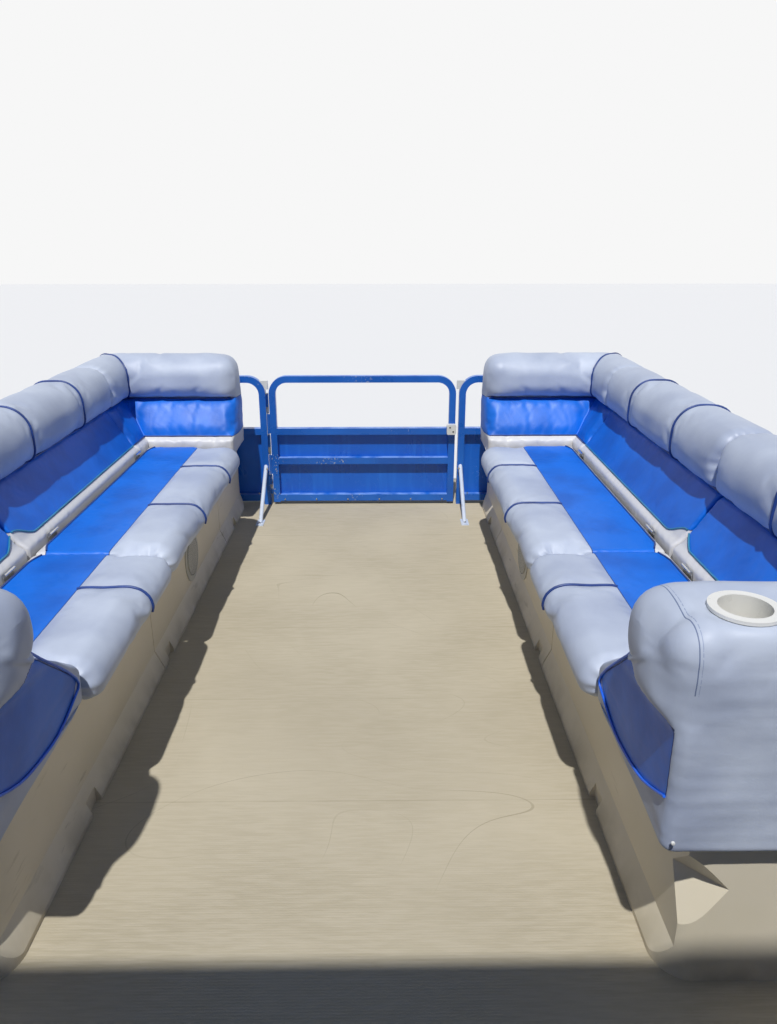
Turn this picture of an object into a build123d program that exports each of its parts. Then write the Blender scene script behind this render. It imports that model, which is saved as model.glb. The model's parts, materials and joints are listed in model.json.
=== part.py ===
from build123d import *
from math import atan2, ceil, cos, degrees, hypot, radians, sin
import os

# Pontoon boat in millimetres: +Y to the bow, +X to starboard, +Z up.
# The origin is at the waterline, on the centreline, at the middle of the deck's length.

# Deck
DECK_LENGTH = 6700.0
DECK_WIDTH = 2590.0
DECK_BOARD = 20.0
TRIM_THICK = 20.0
TRIM_DROP = 90.0
TRIM_LIP = 3.0
TRIM_CORNER_R = 18.0
BEAM_HEIGHT = 75.0
BEAM_WIDTH = 45.0
BEAM_COUNT = 12

# Floats
TUBE_R = 305.0
TUBE_INSET = 445.0
DRAFT = 190.0
STERN_SHORT = 50.0
NOSE_SHORT = 650.0
NOSE_LENGTH = 700.0
NOSE_TIP_R = 110.0
KEEL_WIDTH = 40.0
KEEL_DEPTH = 22.0
RISER_HEIGHT = 50.0
RISER_WIDTH = 60.0
RISER_OFFSET = 70.0
RISER_SHORT = 60.0
RISER_BEDDING = 4.0
EYE_PLATE_R = 28.0
EYE_PLATE_THICK = 10.0
EYE_AHEAD = 28.0
EYE_BORE_R = 12.0

# Fence and gates
BOW_DECK = 400.0
STERN_DECK = 550.0
FENCE_INSET = 21.0
FENCE_TUBE = 32.0
FENCE_TOP = 656.0
RAIL_LOW = 52.0
RAIL_MIDDLE = 246.0
RAIL_HIGH = 397.0
PANEL_THICK = 2.0
PANEL_LIFT = 20.0
UPRIGHT_SPACING = 620.0
FENCE_CORNER_R = 90.0
GATE_GAP = 16.0
BOW_GATE_WIDTH = 914.0
SIDE_GATE_WIDTH = 711.0
SIDE_GATE_Y = -250.0
STERN_GATE_INSET = 674.0
GATE_FLOOR_GAP = 14.0
HINGE_INSET = 2.0
KNUCKLE_R = 6.0
HINGE_PIN_R = 3.0
LEAF_THICK = 3.0
KNUCKLE_LENGTH = 98.0
KNUCKLE_GAP = 6.0
KNUCKLE_COUNT = 5
KNUCKLE_BASE = 60.0
BRACE_R = 9.5
BRACE_RISE = 200.0
BRACE_RUN = 270.0
BRACE_FOOT_WIDTH = 36.0
BRACE_FOOT_LENGTH = 80.0
BRACE_FOOT_THICK = 4.0
BUMPER_PROUD = 12.0
BUMPER_BACK = 30.0
BUMPER_DEPTH = 20.0
BUMPER_INSET = 7.0
BUMPER_DROP = 24.0
BUMPER_HEIGHT = 42.0
LATCH_WIDTH = 46.0
LATCH_DEPTH = 30.0
LATCH_HEIGHT = 49.0
LATCH_RISE = 23.0
LATCH_R = 8.0

# Lounges, given as heights above the deck
AISLE = 1252.0
LOUNGE_LENGTH = 2672.0
BASE_TOP = 360.0
BASE_WALL = 34.0
BASE_FLOOR = 25.0
BASE_CORNER_R = 70.0
FOOT_FLARE = 26.0
FOOT_EDGE = 12.0
FOOT_TOP = 70.0
FOOT_NOTCH = 60.0
FOOT_NOTCHES = (440.0, 1150.0, 2330.0)
SEAM_WIDTH = 5.0
SEAM_DEPTH = 4.0
BASE_SEAMS = (1090.0, 2140.0)
RELIEF_LOW = 100.0
RELIEF_MIDDLE = 220.0
RELIEF_HIGH = 300.0
RELIEF_DEPTH = 52.0
BOLSTER_OVERHANG = 106.0
BOLSTER_TOP_R = 40.0
BOLSTER_UNDER_R = 25.0
SEAT_TOP = 430.0
SEAT_FALL = 4.0
SEAT_DROP = 330.0
SEAT_LIFT = 5.0
SEAT_AFT_LENGTH = 1060.0
SEAT_OFF_RETURN = 30.0
BACK_TOP = 790.0
BACK_ROLL = 200.0
BACK_ROLL_BOTTOM = 598.0
BACK_FOOT = 292.0
BACK_FOOT_TOP = 440.0
BACK_FOOT_SLOPE = 8.0
ROLL_R = 70.0
RETURN_REACH = 56.0
RETURN_OFF_BOW = 90.0
RETURN_DEPTH = 422.0
RETURN_CORNER_R = 110.0
ARM_REACH = 76.0
ARM_OVERHANG = 40.0
ARM_TOP = 745.0
ARM_ROLL = 250.0
ARM_ROLL_BOTTOM = 588.0
ARM_ROLL_R = 80.0
ARM_AFT_R = 35.0
ARM_FOOT = 440.0
ARM_FOOT_SLOPE = 12.0
BENCH_LENGTH = 1905.0
BENCH_OFF_FENCE = 13.0
BENCH_OVERHANG = 15.0
CUP_ACROSS = 117.0
CUP_FORE = 92.0
CUP_BORE_R = 42.0
CUP_WALL = 4.0
CUP_RIM_R = 57.5
CUP_RIM = 6.0
CUP_DEPTH = 85.0
SPEAKER_R = 87.5
SPEAKER_AHEAD = 570.0
SPEAKER_Z = 166.0
SPEAKER_SINK = 6.0
SPEAKER_FLANGE = 8.0
SEAT_HINGE_R = 5.0
SEAT_HINGE_LENGTH = 60.0
SEAT_HINGE_INSET = 120.0
SEAT_HINGE_LEAF = 3.0
SEAT_HINGE_FOOT = 18.0

# Helm
HELM_OFF_FENCE = 92.0
HELM_WIDTH = 550.0
HELM_BOW_Y = -350.0
HELM_LENGTH = 500.0
HELM_TOP = 930.0
HELM_DASH = 690.0
HELM_DASH_DEPTH = 110.0
HELM_FRONT_RAKE = 60.0
HELM_TOE = 60.0
HELM_EDGE_R = 20.0
SCREEN_HEIGHT = 290.0
SCREEN_THICK = 6.0
SCREEN_RAKE = 80.0
SCREEN_SET_BACK = 110.0
SCREEN_SIDE = 15.0
WHEEL_R = 175.0
WHEEL_RIM_R = 14.0
WHEEL_TILT = 25.0
WHEEL_INBOARD = 200.0
WHEEL_Z = 790.0
WHEEL_STANDOFF = 115.0
WHEEL_DASH_DEPTH = 55.0
WHEEL_HUB_R = 36.0
WHEEL_HUB = 44.0
WHEEL_SINK = 3.0
SPOKE_WIDTH = 26.0
SPOKE_THICK = 8.0
WHEEL_SHAFT_R = 22.0
WHEEL_PIN_R = 8.0
CHAIR_AFT = 1150.0
CHAIR_SEAT_Z = 440.0
CHAIR_WIDTH = 480.0
CHAIR_DEPTH = 460.0
CHAIR_CUSHION = 110.0
CHAIR_BACK_TOP = 990.0
CHAIR_BACK = 100.0
CHAIR_BACK_SINK = 65.0
CHAIR_R = 40.0
CHAIR_CORNER_R = 90.0
PEDESTAL_PLATE_R = 150.0
PEDESTAL_PLATE = 12.0
PEDESTAL_R = 38.0
PEDESTAL_PIN_R = 20.0
PEDESTAL_PIN = 30.0
CONTROL_DEPTH = 40.0
CONTROL_LENGTH = 180.0
CONTROL_LOW = 600.0
CONTROL_HIGH = 720.0
LEVER_RISE = 190.0
LEVER_LEAN = 50.0
LEVER_R = 8.0
GRIP_R = 14.0
BOSS_R = 22.0

# Motor
TRANSOM_AFT = 250.0
TRANSOM_TOP = 430.0
POD_WIDTH = 520.0
POD_KEEL = 650.0
POD_LENGTH = 1100.0
POD_NOSE = 120.0
POD_DECK_GAP = 20.0
SHAFT_LENGTH = 508.0
TILT_AFT = 45.0
TILT_UP = 25.0
TILT_TUBE_R = 12.0
TILT_EAR_R = 20.0
TILT_EAR_DROP = 18.0
CLAMP_HALF = 112.0
CLAMP_CHEEK = 24.0
CLAMP_DEPTH = 85.0
CLAMP_FOOT = 180.0
CLAMP_PLATE = 12.0
CLAMP_PLATE_TOP = 260.0
STEER_AFT = 160.0
STEER_PIN_R = 18.0
STEER_FOOT = 150.0
STEER_HEAD_R = 38.0
SLEEVE_HALF = 80.0
SLEEVE_R = 24.0
WEB_HALF = 45.0
WEB_LOW = 330.0
YOKE_HALF = 38.0
YOKE_AFT = 120.0
YOKE_TOP = 50.0
LEG_HALF = 62.0
LEG_FRONT = 52.0
LEG_AFT = 230.0
LEG_R = 30.0
PLATE_HALF = 105.0
PLATE_FRONT = 30.0
PLATE_AFT = 400.0
PLATE_THICK = 8.0
STRUT_HALF = 18.0
GEAR_R = 46.0
GEAR_FRONT = 40.0
GEAR_AFT = 300.0
GEAR_NOSE = 70.0
GEAR_NOSE_R = 14.0
SKEG_DROP = 200.0
SKEG_HALF = 6.0
PROP_R = 160.0
PROP_PLATE_GAP = 16.0
PROP_HUB_R = 44.0
PROP_HUB = 90.0
PROP_SHAFT_R = 10.0
PROP_SHAFT = 110.0
BLADE_LENGTH = 116.0
BLADE_WIDTH = 84.0
BLADE_THICK = 10.0
BLADE_PITCH = 28.0
COWL_HALF = 165.0
COWL_FRONT = 112.0
COWL_AFT = 400.0
COWL_HEIGHT = 450.0
COWL_CORNER_R = 110.0
COWL_TOP_R = 95.0
COWL_BACK_R = 150.0
COWL_TAPER = 18.0

# Canopy
BOW_TUBE_R = 12.5
PIVOT_AHEAD = 900.0
PIVOT_RISE = 44.0
PIVOT_PIN_R = 5.0
CANOPY_TOP = 1930.0
MAIN_BOW_AHEAD = 350.0
FRONT_BOW_AHEAD = 1080.0
REAR_BOW_AFT = 1080.0
BOW_CORNER_R = 250.0
NEST_OFFSET = 40.0
FRONT_HINGE_UP = 350.0
REAR_HINGE_UP = 250.0
EYE_HALF = 8.0
EYE_R = 14.0
EYE_NECK = 24.0
EYE_CHEEK = 9.0
LUG_OFF = 5.5
LUG_THICK = 4.0
LUG_WIDTH = 24.0
STEM_R = 8.0
MOUNT_HALF = 19.0
MOUNT_LENGTH = 60.0
MOUNT_PLATE = 5.0
FORK_THICK = 4.0
FORK_LENGTH = 28.0
FORK_RISE = 12.0
CANVAS_THICK = 4.0
CANVAS_HEM = 110.0
CANVAS_R = 150.0
CANVAS_OFF_BOW = 8.0
CANVAS_REACH = 20.0
STRAP_WIDTH = 25.0
STRAP_THICK = 3.0
STRAP_FORE = 90.0
STRAP_AFT = 130.0
STRAP_DROP = 220.0

# Deck hardware
CLEAT_FROM_END = 150.0
CLEAT_FROM_SIDE = 70.0
HORN_HALF = 75.0
HORN_R = 9.0
HORN_Z = 38.0
CLEAT_HALF = 18.0
CLEAT_LEG = 16.0
CLEAT_FOOT = 6.0
BOW_LIGHT_OUT = 150.0
BOW_LIGHT_WIDTH = 80.0
BOW_LIGHT_LENGTH = 70.0
BOW_LIGHT_HEIGHT = 45.0
BOW_LIGHT_AHEAD = 70.0
BOW_LIGHT_R = 15.0
STERN_LIGHT_X = -300.0
STALK_R = 9.0
STALK_HEIGHT = 120.0
LAMP_R = 26.0
LAMP_HEIGHT = 55.0

# Clearances
MOVING_GAP = 6.0
CONTACT_GAP = 0.3
RUNNING_GAP = 0.05

# Sizes that follow from the ones above
TUBE_X = DECK_WIDTH / 2 - TUBE_INSET
TUBE_Z = TUBE_R - DRAFT
TUBE_STERN_Y = -DECK_LENGTH / 2 + STERN_SHORT
NOSE_ROOT_Y = DECK_LENGTH / 2 - NOSE_SHORT
NOSE_TIP_Y = NOSE_ROOT_Y + NOSE_LENGTH
BEAM_BOTTOM = TUBE_Z + TUBE_R + RISER_HEIGHT
BEAM_TOP = BEAM_BOTTOM + BEAM_HEIGHT
DECK_Z = BEAM_TOP + DECK_BOARD
FENCE_BOW_Y = DECK_LENGTH / 2 - BOW_DECK
FENCE_STERN_Y = -DECK_LENGTH / 2 + STERN_DECK
FENCE_X = DECK_WIDTH / 2 - FENCE_INSET
FENCE_INNER_X = FENCE_X - FENCE_TUBE
RAIL_X = FENCE_X - FENCE_TUBE / 2
STERN_GATE_X = FENCE_X - STERN_GATE_INSET
FENCE_RAILS = (RAIL_LOW, RAIL_HIGH)
GATE_RAILS = (RAIL_LOW, RAIL_MIDDLE, RAIL_HIGH)
BASE_BOW_Y = FENCE_BOW_Y - FENCE_TUBE - MOVING_GAP
BASE_AFT_Y = BASE_BOW_Y - LOUNGE_LENGTH
LOUNGE_OUTER = FENCE_INNER_X - MOVING_GAP
BASE_AISLE = AISLE / 2
BASE_FOOT = BASE_AISLE - FOOT_FLARE
BACK_FRONT = LOUNGE_OUTER - BACK_FOOT
SEAT_FRONT = BASE_AISLE - BOLSTER_OVERHANG
SEAT_REAR = BACK_FRONT - MOVING_GAP
SEAT_UNDER = BASE_TOP + SEAT_LIFT
SEAT_JOINT_Y = BASE_AFT_Y + SEAT_AFT_LENGTH
RETURN_INNER = BASE_AISLE - RETURN_REACH
BACK_BOW_Y = BASE_BOW_Y - RETURN_OFF_BOW
RETURN_AFT_Y = BACK_BOW_Y - RETURN_DEPTH
ARM_INNER = BASE_AISLE - ARM_REACH
ARM_AFT_Y = BASE_AFT_Y - ARM_OVERHANG
BENCH_AFT_Y = FENCE_STERN_Y + FENCE_TUBE + BENCH_OFF_FENCE
BENCH_BOW_Y = BENCH_AFT_Y + BENCH_LENGTH
CUP_X = ARM_INNER + CUP_ACROSS
CUP_Y = ARM_AFT_Y + CUP_FORE
SPEAKER_Y = SEAT_JOINT_Y + SPEAKER_AHEAD
HELM_X1 = FENCE_INNER_X - HELM_OFF_FENCE
HELM_X0 = HELM_X1 - HELM_WIDTH
HELM_AFT_Y = HELM_BOW_Y - HELM_LENGTH
WHEEL_X = HELM_X0 + WHEEL_INBOARD
CHAIR_Y = HELM_BOW_Y - CHAIR_AFT
TRANSOM_Y = -DECK_LENGTH / 2 - TRANSOM_AFT
TILT_Y = TRANSOM_Y - TILT_AFT
TILT_Z = TRANSOM_TOP + TILT_UP
STEER_Y = TRANSOM_Y - STEER_AFT
PLATE_Z = TRANSOM_TOP - SHAFT_LENGTH
PROP_Z = PLATE_Z - PROP_R - PROP_PLATE_GAP
GEAR_AFT_Y = STEER_Y - GEAR_AFT
PIVOT_Y = FENCE_STERN_Y + PIVOT_AHEAD
PIVOT_Z = FENCE_TOP + PIVOT_RISE
MAIN_BOW_Y = PIVOT_Y + MAIN_BOW_AHEAD
FRONT_BOW_Y = PIVOT_Y + FRONT_BOW_AHEAD
REAR_BOW_Y = PIVOT_Y - REAR_BOW_AFT
MAIN_LEAN = degrees(atan2(MAIN_BOW_AHEAD, CANOPY_TOP - PIVOT_Z))
LUG_INNER = BOW_TUBE_R + LUG_OFF

UPWARD = (Align.CENTER, Align.CENTER, Align.MIN)
DOWNWARD = (Align.CENTER, Align.CENTER, Align.MAX)


def polygon(points):
    """Face through the given points of the XY plane."""
    return make_face(Polyline(*points, close=True))


def round_at(face, point, radius):
    """Face with the corner nearest to the point rounded."""
    corner = min(face.vertices(), key=lambda v: hypot(v.X - point[0], v.Y - point[1]))
    return fillet(corner, radius)


def rounded(points, radii):
    """Polygon with each corner rounded by its own radius, or left sharp at 0."""
    face = polygon(points)
    for point, radius in zip(points, radii):
        if radius:
            face = round_at(face, point, radius)
    return face


def along_y(face, y0, y1):
    """Section drawn as X and Z, drawn out from y0 to y1."""
    return Pos(0, y0, 0) * (Plane.XZ * extrude(face, -(y1 - y0)))


def along_x(face, x0, x1):
    """Section drawn as Y and Z, drawn out from x0 to x1."""
    return Pos(x0, 0, 0) * (Plane.YZ * extrude(face, x1 - x0))


def block(x0, x1, y0, y1, z0, z1):
    """Box between two corners."""
    low = (Align.MIN, Align.MIN, Align.MIN)
    return Pos(x0, y0, z0) * Box(x1 - x0, y1 - y0, z1 - z0, align=low)


def rod(start, end, radius):
    """Round bar between two points."""
    start = Vector(*start)
    run = Vector(*end) - start
    plane = Plane(origin=start, z_dir=run)
    return plane * Cylinder(radius, run.length, align=UPWARD)


def port_of(part):
    """Mirror image on the port side."""
    return mirror(part, about=Plane.YZ)


def up(part):
    """Part drawn above deck level, moved up onto the deck."""
    return Pos(0, 0, DECK_Z) * part


def both(part):
    """The part and its mirror image, as separate solids."""
    return [part, port_of(part)]


# Floats and deck

def pontoon():
    """Starboard float: a round tube with a long rounded nose, a flat stern and a keel strip."""
    tip_centre = NOSE_LENGTH - NOSE_TIP_R
    sweep_r = (TUBE_R ** 2 + tip_centre ** 2 - NOSE_TIP_R ** 2) / (2 * (TUBE_R - NOSE_TIP_R))
    reach = hypot(sweep_r - TUBE_R, tip_centre)
    join = (NOSE_TIP_R * (sweep_r - TUBE_R) / reach,
            NOSE_ROOT_Y + tip_centre + NOSE_TIP_R * tip_centre / reach)
    tube = Polyline((0, TUBE_STERN_Y), (TUBE_R, TUBE_STERN_Y), (TUBE_R, NOSE_ROOT_Y))
    nose = TangentArc((TUBE_R, NOSE_ROOT_Y), join, tangent=(0, 1))
    tip = TangentArc(join, (0, NOSE_TIP_Y), tangent=nose % 1)
    axis = Line((0, NOSE_TIP_Y), (0, TUBE_STERN_Y))
    shape = revolve(make_face([*tube.edges(), nose.edge(), tip.edge(), axis.edge()]), Axis.Y)
    half = KEEL_WIDTH / 2
    keel = block(-half, half, TUBE_STERN_Y, NOSE_ROOT_Y, -TUBE_R - KEEL_DEPTH, -TUBE_R + KEEL_DEPTH)
    return Pos(TUBE_X, 0, TUBE_Z) * (shape + keel)


def riser(offset):
    """Rail along a float that carries the deck beams."""
    edge = abs(offset) + RISER_WIDTH / 2
    foot = TUBE_Z + (TUBE_R ** 2 - edge ** 2) ** 0.5 - RISER_BEDDING
    rail = block(offset - RISER_WIDTH / 2, offset + RISER_WIDTH / 2, TUBE_STERN_Y + RISER_SHORT, NOSE_ROOT_Y,
                 foot, BEAM_BOTTOM - CONTACT_GAP)
    float_space = Pos(0, 0, TUBE_Z) * (Rot(90, 0, 0) * Cylinder(TUBE_R + CONTACT_GAP, 2 * DECK_LENGTH))
    return Pos(TUBE_X, 0, 0) * (rail - float_space)


def deck_beams():
    """Cross beams under the deck and the rails that hold them on the floats."""
    solids = []
    half = DECK_WIDTH / 2 - TRIM_THICK - CONTACT_GAP
    reach = DECK_LENGTH / 2 - TRIM_THICK - BEAM_WIDTH / 2 - CONTACT_GAP
    for i in range(BEAM_COUNT):
        y = -reach + 2 * reach * i / (BEAM_COUNT - 1)
        solids.append(block(-half, half, y - BEAM_WIDTH / 2, y + BEAM_WIDTH / 2, BEAM_BOTTOM, BEAM_TOP))
    for offset in (-RISER_OFFSET, RISER_OFFSET):
        solids += both(riser(offset))
    return solids


def deck_board():
    """Deck floor."""
    width = DECK_WIDTH - 2 * TRIM_THICK - 2 * CONTACT_GAP
    length = DECK_LENGTH - 2 * TRIM_THICK - 2 * CONTACT_GAP
    board = extrude(Rectangle(width, length), DECK_BOARD - CONTACT_GAP)
    return [Pos(0, 0, BEAM_TOP + CONTACT_GAP) * board]


def deck_trim():
    """Edge extrusions along the four sides of the deck."""
    low, high = DECK_Z - TRIM_DROP, DECK_Z + TRIM_LIP
    x1, y1 = DECK_WIDTH / 2, DECK_LENGTH / 2
    side_end = y1 - TRIM_THICK - CONTACT_GAP
    side = block(x1 - TRIM_THICK, x1, -side_end, side_end, low, high)
    end = block(-x1, x1, y1 - TRIM_THICK, y1, low, high)
    end = fillet(end.edges().filter_by(Axis.Z).sort_by(Axis.Y)[-2:], TRIM_CORNER_R)
    return [*both(side), end, mirror(end, about=Plane.XZ)]


def motor_pod():
    """Pod between the floats with the transom that carries the motor."""
    top = BEAM_BOTTOM - CONTACT_GAP
    deck_end = -DECK_LENGTH / 2 - POD_DECK_GAP
    keel = DECK_Z - SHAFT_LENGTH
    bow = TRANSOM_Y + POD_LENGTH
    outline = [(TRANSOM_Y, keel), (TRANSOM_Y + POD_KEEL, keel), (bow, top - POD_NOSE), (bow, top),
               (deck_end, top), (deck_end, TRANSOM_TOP), (TRANSOM_Y, TRANSOM_TOP)]
    return [along_x(polygon(outline), -POD_WIDTH / 2, POD_WIDTH / 2)]


# Fence and gates

def window_sketch(length, height, tops, uprights):
    """Rails and uprights of a flat frame, drawn with its lower left corner at the origin."""
    low = (Align.MIN, Align.MIN)
    bars = Sketch() + Rectangle(FENCE_TUBE, height, align=low)
    bars += Pos(length - FENCE_TUBE, 0) * Rectangle(FENCE_TUBE, height, align=low)
    for top in (*tops, height):
        bars += Pos(0, top - FENCE_TUBE) * Rectangle(length, FENCE_TUBE, align=low)
    for x in uprights:
        bars += Pos(x - FENCE_TUBE / 2, 0) * Rectangle(FENCE_TUBE, height, align=low)
    return bars


def curved_corner(height):
    """Bent tube that joins a stile and the top rail, and the square that it takes the place of."""
    ring = Circle(FENCE_CORNER_R) - Circle(FENCE_CORNER_R - FENCE_TUBE)
    bend = Pos(FENCE_CORNER_R, height - FENCE_CORNER_R) * ring
    square = Rectangle(FENCE_CORNER_R, FENCE_CORNER_R, align=(Align.MIN, Align.MIN))
    quarter = Pos(0, height - FENCE_CORNER_R) * square
    return bend & quarter, quarter


def tube_frame(length, height, tops, round_start, round_end, uprights=()):
    """Square tube frame, standing along +X from the origin, with its outer face at +Y."""
    bars = window_sketch(length, height, tops, uprights)
    bend, quarter = curved_corner(height)
    if round_start:
        bars = bars - quarter + bend
    if round_end:
        far = Pos(length, 0)
        bars = bars - far * mirror(quarter, about=Plane.YZ) + far * mirror(bend, about=Plane.YZ)
    return Plane.XZ * extrude(bars, -FENCE_TUBE)


def uprights_for(length):
    """Even places for the uprights of a long frame."""
    bays = max(1, ceil((length - FENCE_TUBE) / UPRIGHT_SPACING))
    return [FENCE_TUBE / 2 + (length - FENCE_TUBE) * i / bays for i in range(1, bays)]


def fence_frame(length, round_start, round_end):
    """Fence frame that stands on the deck."""
    return tube_frame(length, FENCE_TOP, FENCE_RAILS, round_start, round_end, uprights_for(length))


def fence_sheet(length):
    """Sheet on the outer face of a frame."""
    inner = FENCE_TUBE + CONTACT_GAP
    return block(0, length, inner, inner + PANEL_THICK, PANEL_LIFT, RAIL_HIGH)


def opening_half(width):
    """Half of the gap between the posts of a gate."""
    return width / 2 + GATE_GAP


STERN_INNER = STERN_GATE_X - opening_half(SIDE_GATE_WIDTH)
STERN_OUTER = STERN_GATE_X + opening_half(SIDE_GATE_WIDTH)
SIDE_GATE_FORE = SIDE_GATE_Y + opening_half(SIDE_GATE_WIDTH)
SIDE_GATE_AFT = SIDE_GATE_Y - opening_half(SIDE_GATE_WIDTH)
BOW_RUN = FENCE_X - opening_half(BOW_GATE_WIDTH)
SIDE_FORE_END = FENCE_BOW_Y - FENCE_TUBE - CONTACT_GAP
SIDE_AFT_END = FENCE_STERN_Y + FENCE_TUBE + CONTACT_GAP

# Each fence run: name, place of its start, turn about Z, length, rounded start, rounded end
FENCE_RUNS = (
    ("fence_bow", (opening_half(BOW_GATE_WIDTH), FENCE_BOW_Y - FENCE_TUBE), 0, BOW_RUN, True, False),
    ("fence_bow", (-FENCE_X, FENCE_BOW_Y - FENCE_TUBE), 0, BOW_RUN, False, True),
    ("fence_sides", (FENCE_INNER_X, SIDE_FORE_END), -90, SIDE_FORE_END - SIDE_AFT_END, False, False),
    ("fence_sides", (-FENCE_INNER_X, SIDE_GATE_FORE), 90, SIDE_FORE_END - SIDE_GATE_FORE, True, False),
    ("fence_sides", (-FENCE_INNER_X, SIDE_AFT_END), 90, SIDE_GATE_AFT - SIDE_AFT_END, False, True),
    ("fence_stern", (FENCE_X, FENCE_STERN_Y + FENCE_TUBE), 180, FENCE_X - STERN_OUTER, False, True),
    ("fence_stern", (STERN_INNER, FENCE_STERN_Y + FENCE_TUBE), 180, STERN_INNER + FENCE_X, True, False),
)


def fence_runs(name):
    """Frames of one fence, in place."""
    return [up(Pos(*place, 0) * (Rot(0, 0, turn) * fence_frame(length, start, end)))
            for run, place, turn, length, start, end in FENCE_RUNS if run == name]


def fence_panels():
    """Sheets on every fixed frame."""
    return [up(Pos(*place, 0) * (Rot(0, 0, turn) * fence_sheet(length)))
            for run, place, turn, length, start, end in FENCE_RUNS]


def fence_braces():
    """Struts from the bow gate posts down to the deck."""
    x = opening_half(BOW_GATE_WIDTH) + FENCE_TUBE / 2
    y = FENCE_BOW_Y - FENCE_TUBE - CONTACT_GAP
    slope = BRACE_RISE / BRACE_RUN
    past = BRACE_RUN / 10
    strut = rod((x, y + past, BRACE_RISE + past * slope), (x, y - BRACE_RUN - past, -past * slope), BRACE_R)
    room = block(x - FENCE_TUBE, x + FENCE_TUBE, y - 2 * BRACE_RUN, y, BRACE_FOOT_THICK / 2, FENCE_TOP)
    middle = y - BRACE_RUN
    foot = block(x - BRACE_FOOT_WIDTH / 2, x + BRACE_FOOT_WIDTH / 2, middle - BRACE_FOOT_LENGTH / 2,
                 middle + BRACE_FOOT_LENGTH / 2, 0, BRACE_FOOT_THICK)
    return both(up((strut & room) + foot))


def gate_bumpers():
    """Rubbing blocks against the rounded tops of the bow gate posts."""
    x = opening_half(BOW_GATE_WIDTH)
    y = FENCE_BOW_Y - FENCE_TUBE + BUMPER_INSET
    high = FENCE_TOP - BUMPER_DROP
    bumper = block(x - BUMPER_PROUD, x + BUMPER_BACK, y, y + BUMPER_DEPTH, high - BUMPER_HEIGHT, high)
    bend_x, bend_z = x + FENCE_CORNER_R, FENCE_TOP - FENCE_CORNER_R
    bend_r = FENCE_CORNER_R + CONTACT_GAP
    bumper -= rod((bend_x, y - FENCE_TUBE, bend_z), (bend_x, y + FENCE_TUBE, bend_z), bend_r)
    return both(up(bumper))


# Gates: the opening of each, with the place of its hinge axis and the turn of its frame
HINGE_OUT = FENCE_TUBE - HINGE_INSET
GATES = (
    ("bow", BOW_GATE_WIDTH, (-opening_half(BOW_GATE_WIDTH) + GATE_GAP / 2, FENCE_BOW_Y - HINGE_OUT), 0),
    ("side", SIDE_GATE_WIDTH, (-(FENCE_X - HINGE_OUT), SIDE_GATE_AFT + GATE_GAP / 2), 90),
    ("stern", SIDE_GATE_WIDTH, (STERN_OUTER - GATE_GAP / 2, FENCE_STERN_Y + HINGE_OUT), 180),
)


def gate_place(part, place, turn):
    """Gate part drawn with its hinge axis at the origin, put in its opening."""
    return up(Pos(*place, 0) * (Rot(0, 0, turn) * part))


def knuckle(index, towards_gate):
    """One hinge knuckle with the leaf that holds it."""
    z = KNUCKLE_BASE + index * (KNUCKLE_LENGTH + KNUCKLE_GAP)
    barrel = Pos(0, 0, z) * Cylinder(KNUCKLE_R, KNUCKLE_LENGTH, align=UPWARD)
    reach = GATE_GAP / 2
    if towards_gate:
        leaf = block(0, reach, -LEAF_THICK / 2, LEAF_THICK / 2, z, z + KNUCKLE_LENGTH)
        return barrel + leaf - Pos(0, 0, z) * Cylinder(HINGE_PIN_R + RUNNING_GAP, 3 * KNUCKLE_LENGTH)
    return barrel + block(-reach, 0, -LEAF_THICK / 2, LEAF_THICK / 2, z, z + KNUCKLE_LENGTH)


def hinge_pin():
    """Fixed half of a gate hinge: the pin and every other knuckle."""
    height = KNUCKLE_COUNT * KNUCKLE_LENGTH + (KNUCKLE_COUNT - 1) * KNUCKLE_GAP
    pin = Pos(0, 0, KNUCKLE_BASE) * Cylinder(HINGE_PIN_R, height, align=UPWARD)
    for i in range(0, KNUCKLE_COUNT, 2):
        pin += knuckle(i, False)
    return pin


def gate_frame(width):
    """Gate frame with its hinge knuckles, axis at the origin."""
    height = FENCE_TOP - GATE_FLOOR_GAP
    tops = [top - GATE_FLOOR_GAP for top in GATE_RAILS]
    frame = tube_frame(width, height, tops, True, True)
    frame = Pos(GATE_GAP / 2, -HINGE_INSET, GATE_FLOOR_GAP) * frame
    for i in range(1, KNUCKLE_COUNT, 2):
        frame += knuckle(i, True)
    return frame


def gate_sheet(width):
    """Sheet on the outer face of a gate."""
    low = GATE_GAP / 2 + LEAF_THICK
    y = HINGE_OUT + CONTACT_GAP
    return block(low, low + width - 2 * LEAF_THICK, y, y + PANEL_THICK, PANEL_LIFT, RAIL_HIGH)


def latch_box(width):
    """Latch case on the free stile, at the height of the sheet's top rail."""
    right = GATE_GAP / 2 + width + LEAF_THICK
    y = -HINGE_INSET - CONTACT_GAP
    high = RAIL_HIGH + LATCH_RISE
    case = block(right - LATCH_WIDTH, right, y - LATCH_DEPTH, y, high - LATCH_HEIGHT, high)
    return fillet(case.edges().filter_by(Axis.Y), LATCH_R)


def gate_parts():
    """Bow gate in three pieces, the other gates in one piece each."""
    parts = {}
    for name, width, place, turn in GATES:
        frame = gate_place(gate_frame(width), place, turn)
        sheet = gate_place(gate_sheet(width), place, turn)
        if name == "bow":
            parts["bow_gate_frame"] = [frame]
            parts["bow_gate_panel"] = [sheet]
            parts["bow_gate_latch"] = [gate_place(latch_box(width), place, turn)]
        else:
            parts[name + "_gate"] = [frame, sheet]
    return parts


def gate_hinge_pins():
    """Fixed halves of the gate hinges."""
    return [gate_place(hinge_pin(), place, turn) for name, width, place, turn in GATES]


# Lounges

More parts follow.
